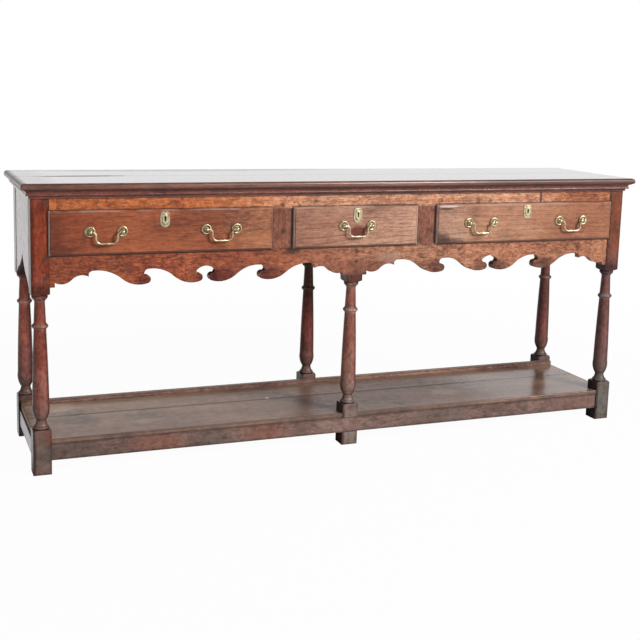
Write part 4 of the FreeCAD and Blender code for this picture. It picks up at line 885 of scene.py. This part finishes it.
class DRESSER_OT_drawer_fronts(bpy.types.Operator):
    """Finish the three lipped drawer fronts"""

    bl_idname = "dresser.drawer_fronts"
    bl_label = "Drawer fronts"

    @staticmethod
    def keyholes():
        """Where the keyholes lie across the dresser, from their plates."""
        plates = [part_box(f"escutcheon_{side}") for side in ("left", "centre", "right")]
        return [(low.x + high.x) / 2 for low, high in plates]

    def execute(self, context):
        oak = context.scene.dresser_oak
        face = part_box("drawer_centre_front")[0].y
        left_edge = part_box("drawer_left_front")[0].x
        # Painted shade: near black on the wood inside each keyhole
        holes = [Mark(card(14, 11, 9), (x, face + 0.012, 0.738), (0.012, 0.024, 0.024), 1.0, 0.0)
                 for x in self.keyholes()]
        # Darker and redder towards the end: partly the wood's colour, partly painted shade where the front's
        # sheen fades
        far_left_tone_and_shade = tint((0.8, 0.68, 0.66), (-0.98, face, 0.7), (0.3, 0.2, 0.2))
        # Paler and greyer towards the middle: partly the wood's colour, partly painted sheen
        left_tone_and_sheen = tint((1.25, 1.75, 2.1), (-0.24, face, 0.71), (0.24, 0.2, 0.2))
        # Darker and redder along the left end of the drawer
        darker_left_end = Mark(card(88, 38, 28), (left_edge + 0.012, face, 0.7), (0.036, 0.02, 0.1), 0.42, 1.2)
        scar = Mark(card(92, 52, 40), (-0.357, face, 0.747), (0.014, 0.02, 0.006), 0.7)
        left = Board(oak.left_light, oak.left_dark, heart=(0.0, 0.09, -0.03), tilt=(0.0, 0.8, 2.0),
                     ring=0.006, mottle=2.0, vein=0.3, blotch=0.22, dirt=0.2, lip=0.8, lip_right=0.15,
                     marks=(far_left_tone_and_shade, left_tone_and_sheen, darker_left_end, scar, *holes))
        centre_left = tint((0.7, 0.58, 0.55), (-0.22, face, 0.69), (0.3, 0.2, 0.14))
        oval = Mark(card(104, 40, 33), (0.004, face, 0.684), (0.039, 0.02, 0.025), 0.92, 0.45)
        centre = Board(oak.centre_light, oak.centre_dark, heart=(0.1, 0.07, -0.09), tilt=(0.0, -0.6, 2.4),
                       ring=0.009, wander=0.005, streak=0.6, mottle=2.0, vein=0.55, dirt=0.2, lip=0.7,
                       marks=(centre_left, oval, *holes))
        # Paler and greyer towards the middle: partly the wood's colour, partly painted sheen
        pale = tint((1.08, 1.27, 1.45), (0.3, face, 0.7), (0.13, 0.2, 0.2))
        # Darker and redder towards the end: partly the wood's colour, partly painted shade where the front's
        # sheen fades
        far_right_tone_and_shade = tint((0.84, 0.7, 0.62), (0.98, face, 0.7), (0.42, 0.2, 0.2))
        wedge = (Mark(card(70, 44, 40), (0.279, face, 0.648), (0.06, 0.02, 0.036), 0.8, 0.5),
                 Mark(card(70, 44, 40), (0.3, face, 0.642), (0.105, 0.02, 0.018), 0.75, 0.5))
        # A painted highlight streak, with a dark scratch under it
        highlight_and_scratch = (Mark(card(226, 206, 196), (0.314, face, 0.7555), (0.048, 0.02, 0.0042), 0.8, 0.4),
                  Mark(card(58, 42, 40), (0.306, face, 0.7475), (0.036, 0.02, 0.005), 0.8, 0.4))
        ghost = Mark(card(120, 80, 72), (0.43, face, 0.724), (0.04, 0.02, 0.007), 0.5)
        right = Board(oak.right_light, oak.right_dark, heart=(-0.1, 0.08, -0.1), tilt=(0.0, -2.2, 3.0),
                      ring=0.012, wander=0.005, mottle=1.8, vein=0.5, dirt=0.2, lip=0.6, lip_right=0.5,
                      marks=(pale, far_right_tone_and_shade, *wedge, *highlight_and_scratch, ghost, *holes))
        dress_oak(context, {"drawer_left_front": left, "drawer_centre_front": centre,
                            "drawer_right_front": right})
        return {"FINISHED"}


class DRESSER_OT_pegs(bpy.types.Operator):
    """Finish the dark ends of the pegs"""

    bl_idname = "dresser.pegs"
    bl_label = "Pegs"

    def execute(self, context):
        dress("pegs", peg_material("oak pegs", context.scene.dresser_oak))
        return {"FINISHED"}


class DRESSER_OT_brass(bpy.types.Operator):
    """Finish the brass: roses and posts, bails and escutcheons"""

    bl_idname = "dresser.brass"
    bl_label = "Brass"

    def execute(self, context):
        metal = context.scene.dresser_metal
        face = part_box("drawer_centre_front")[0].y
        dress_all("handle_fittings_", brass_material("handle brass", metal, face, 0.0065))
        dress_all("bail_", brass_material("bail brass", metal, face + 0.006, 0.02, 0.9))
        dress_all("escutcheon_", brass_material("plate brass", metal, face, 0.003))
        return {"FINISHED"}


class DRESSER_OT_locks(bpy.types.Operator):
    """Finish the iron lock cases and bolts"""

    bl_idname = "dresser.locks"
    bl_label = "Locks"

    def execute(self, context):
        iron = iron_material("blackened iron", context.scene.dresser_metal)
        dress_all(("lock_case_", "lock_bolt_"), iron)
        return {"FINISHED"}


# Studio

FLOOR_REACH = 30.0
FLOOR_LINES = 31
# Level direction of the white backdrop, X and Y, from the dresser
BACKDROP_WAY = (0.3, 0.954)


def grid_mesh(name, across, along, height):
    """Level sheet at one height, on a grid of lines across and along."""
    x, y = np.meshgrid(np.asarray(across, float), np.asarray(along, float))
    points = np.stack([x, y, np.full_like(x, height)], axis=-1).reshape(-1, 3)
    rows, columns = x.shape
    corner = (np.arange(rows - 1)[:, None] * columns + np.arange(columns - 1)).ravel()
    faces = np.stack([corner, corner + 1, corner + columns + 1, corner + columns], axis=-1)
    mesh = bpy.data.meshes.new(name)
    mesh.from_pydata(points.tolist(), [], faces.tolist())
    return mesh


def gloss_rays(w, path):
    """Mask of the rays that a glossy or clear surface sends on."""
    return w.larger(path["Is Glossy Ray"], path["Is Transmission Ray"])


def floor_material(studio):
    """Pale floor, seen as near white by the camera and, behind the dresser, in gloss; it takes the shadow."""
    material, w = new_material("pale floor")
    paper = w.add("ShaderNodeBsdfDiffuse", {"Color": opaque(studio.floor)})
    white = w.add("ShaderNodeEmission", {"Color": WHITE, "Strength": 1.0})
    place = w.place()
    reach = w.length(place)
    path = w.add("ShaderNodeLightPath").outputs
    across, along, _ = w.parts(place)
    beside = w.times(w.ramp(along, -0.25, 0.05), w.ramp(across, -0.8, -0.95))
    behind = w.larger(beside, w.ramp(w.math("DIVIDE", along, reach), 0.92, 0.97))
    seen = w.larger(path["Is Camera Ray"], w.times(gloss_rays(w, path), behind))
    share = w.times(seen, w.ramp(reach, 1.2, 3.5, studio.floor_white, 1.0))
    both = w.add("ShaderNodeMixShader", {0: share, 1: paper.outputs[0], 2: white.outputs[0]})
    w.feed(w.add("ShaderNodeOutputMaterial").inputs["Surface"], both.outputs[0])
    return material


def set_world(scene, studio):
    """White surroundings for camera and gloss, darker behind the camera, with weak light from all round."""
    world = bpy.data.worlds.new("studio")
    world.use_nodes = True
    world.node_tree.nodes.clear()
    w = Tree(world.node_tree)
    way = w.parts(w.add("ShaderNodeTexCoord").outputs["Generated"])
    ahead = w.plus(w.times(way[0], BACKDROP_WAY[0]), w.times(way[1], BACKDROP_WAY[1]))
    backdrop = w.ramp(ahead, 0.6, 0.88, studio.room_front, 1.0)
    path = w.add("ShaderNodeLightPath").outputs
    strength = w.larger(w.times(gloss_rays(w, path), backdrop), path["Is Camera Ray"])
    strength = w.larger(strength, studio.room)
    sky = w.add("ShaderNodeBackground", {"Color": WHITE, "Strength": strength})
    w.feed(w.add("ShaderNodeOutputWorld").inputs["Surface"], sky.outputs[0])
    scene.world = world


def set_lamp(scene, name, place, aim, side, power):
    """Square soft lamp that points at a place."""
    lamp = bpy.data.lights.new(name, "AREA")
    lamp.shape = "SQUARE"
    lamp.size = side
    lamp.energy = power
    holder = bpy.data.objects.new(name, lamp)
    holder.location = place
    holder.rotation_euler = (Vector(aim) - Vector(place)).to_track_quat("-Z", "Y").to_euler()
    scene.collection.objects.link(holder)


def set_camera(scene, studio):
    """Camera from its place, its pan, pitch and roll, and where its axis meets the picture."""
    lens = bpy.data.cameras.new("camera")
    lens.sensor_width = SENSOR_WIDTH
    lens.lens = studio.focal_pixels / PICTURE_SIDE * lens.sensor_width
    lens.shift_x = 0.5 - studio.middle_x / PICTURE_SIDE
    lens.shift_y = studio.middle_y / PICTURE_SIDE - 0.5
    camera = bpy.data.objects.new("camera", lens)
    turn = (Matrix.Rotation(studio.pan, 3, "Z") @ Matrix.Rotation(studio.pitch, 3, "X")
            @ Matrix.Rotation(studio.roll, 3, "Y") @ Matrix.Rotation(math.radians(90.0), 3, "X"))
    camera.matrix_world = Matrix.Translation(studio.camera_place) @ turn.to_4x4()
    scene.collection.objects.link(camera)
    scene.camera = camera


class DRESSER_OT_stage(bpy.types.Operator):
    """Set the floor, the surroundings, the lamps and the camera"""

    bl_idname = "dresser.stage"
    bl_label = "Stage"

    def execute(self, context):
        scene, studio = context.scene, context.scene.dresser_studio
        scene.view_settings.view_transform = "Standard"
        lines = np.linspace(-FLOOR_REACH, FLOOR_REACH, FLOOR_LINES)
        floor = bpy.data.objects.new("floor", grid_mesh("floor", lines, lines, 0.0))
        floor.data.materials.append(floor_material(studio))
        scene.collection.objects.link(floor)
        set_world(scene, studio)
        set_lamp(scene, "key lamp", place=(4.4, -6.0, 4.6), aim=(0.0, 0.0, 0.45), side=3.0,
                 power=studio.key_power)
        set_lamp(scene, "fill lamp", place=(-4.4, -2.8, 1.5), aim=(0.0, 0.0, 0.5), side=1.6,
                 power=studio.fill_power)
        set_camera(scene, studio)
        return {"FINISHED"}


# Add-on

FINISHES = (DRESSER_OT_posts, DRESSER_OT_top, DRESSER_OT_frieze, DRESSER_OT_apron, DRESSER_OT_muntins,
            DRESSER_OT_end_panels, DRESSER_OT_linings, DRESSER_OT_potboard, DRESSER_OT_drawer_fronts,
            DRESSER_OT_pegs, DRESSER_OT_brass, DRESSER_OT_locks, DRESSER_OT_stage)
SETTINGS = (("dresser_oak", OakSettings), ("dresser_metal", MetalSettings),
            ("dresser_studio", StudioSettings))


class DRESSER_PT_panel(bpy.types.Panel):
    """Finishes of the dresser and their settings"""

    bl_label = "Potboard dresser"
    bl_idname = "DRESSER_PT_panel"
    bl_space_type = "VIEW_3D"
    bl_region_type = "UI"
    bl_category = "Dresser"

    def draw(self, context):
        for finish in FINISHES:
            self.layout.operator(finish.bl_idname)
        for name, settings in SETTINGS:
            box = self.layout.box()
            for setting in settings.__annotations__:
                box.prop(getattr(context.scene, name), setting)


def register():
    for kind in (*(settings for _, settings in SETTINGS), *FINISHES, DRESSER_PT_panel):
        bpy.utils.register_class(kind)
    for name, settings in SETTINGS:
        setattr(bpy.types.Scene, name, PointerProperty(type=settings))


def unregister():
    for name, _ in SETTINGS:
        delattr(bpy.types.Scene, name)
    for kind in (DRESSER_PT_panel, *reversed(FINISHES), *(settings for _, settings in SETTINGS)):
        bpy.utils.unregister_class(kind)


def build_groups(oak):
    build_oak_grain()
    build_edge_distance()
    build_soft_spot()
    build_drawer_gap(oak)
    build_drawer_lip(oak)
    build_old_surface(oak)


def main():
    """Register, build the shared effects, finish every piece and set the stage."""
    register()
    build_groups(bpy.context.scene.dresser_oak)
    for finish in FINISHES:
        section, name = finish.bl_idname.split(".")
        getattr(getattr(bpy.ops, section), name)()


if __name__ == "__main__":
    main()
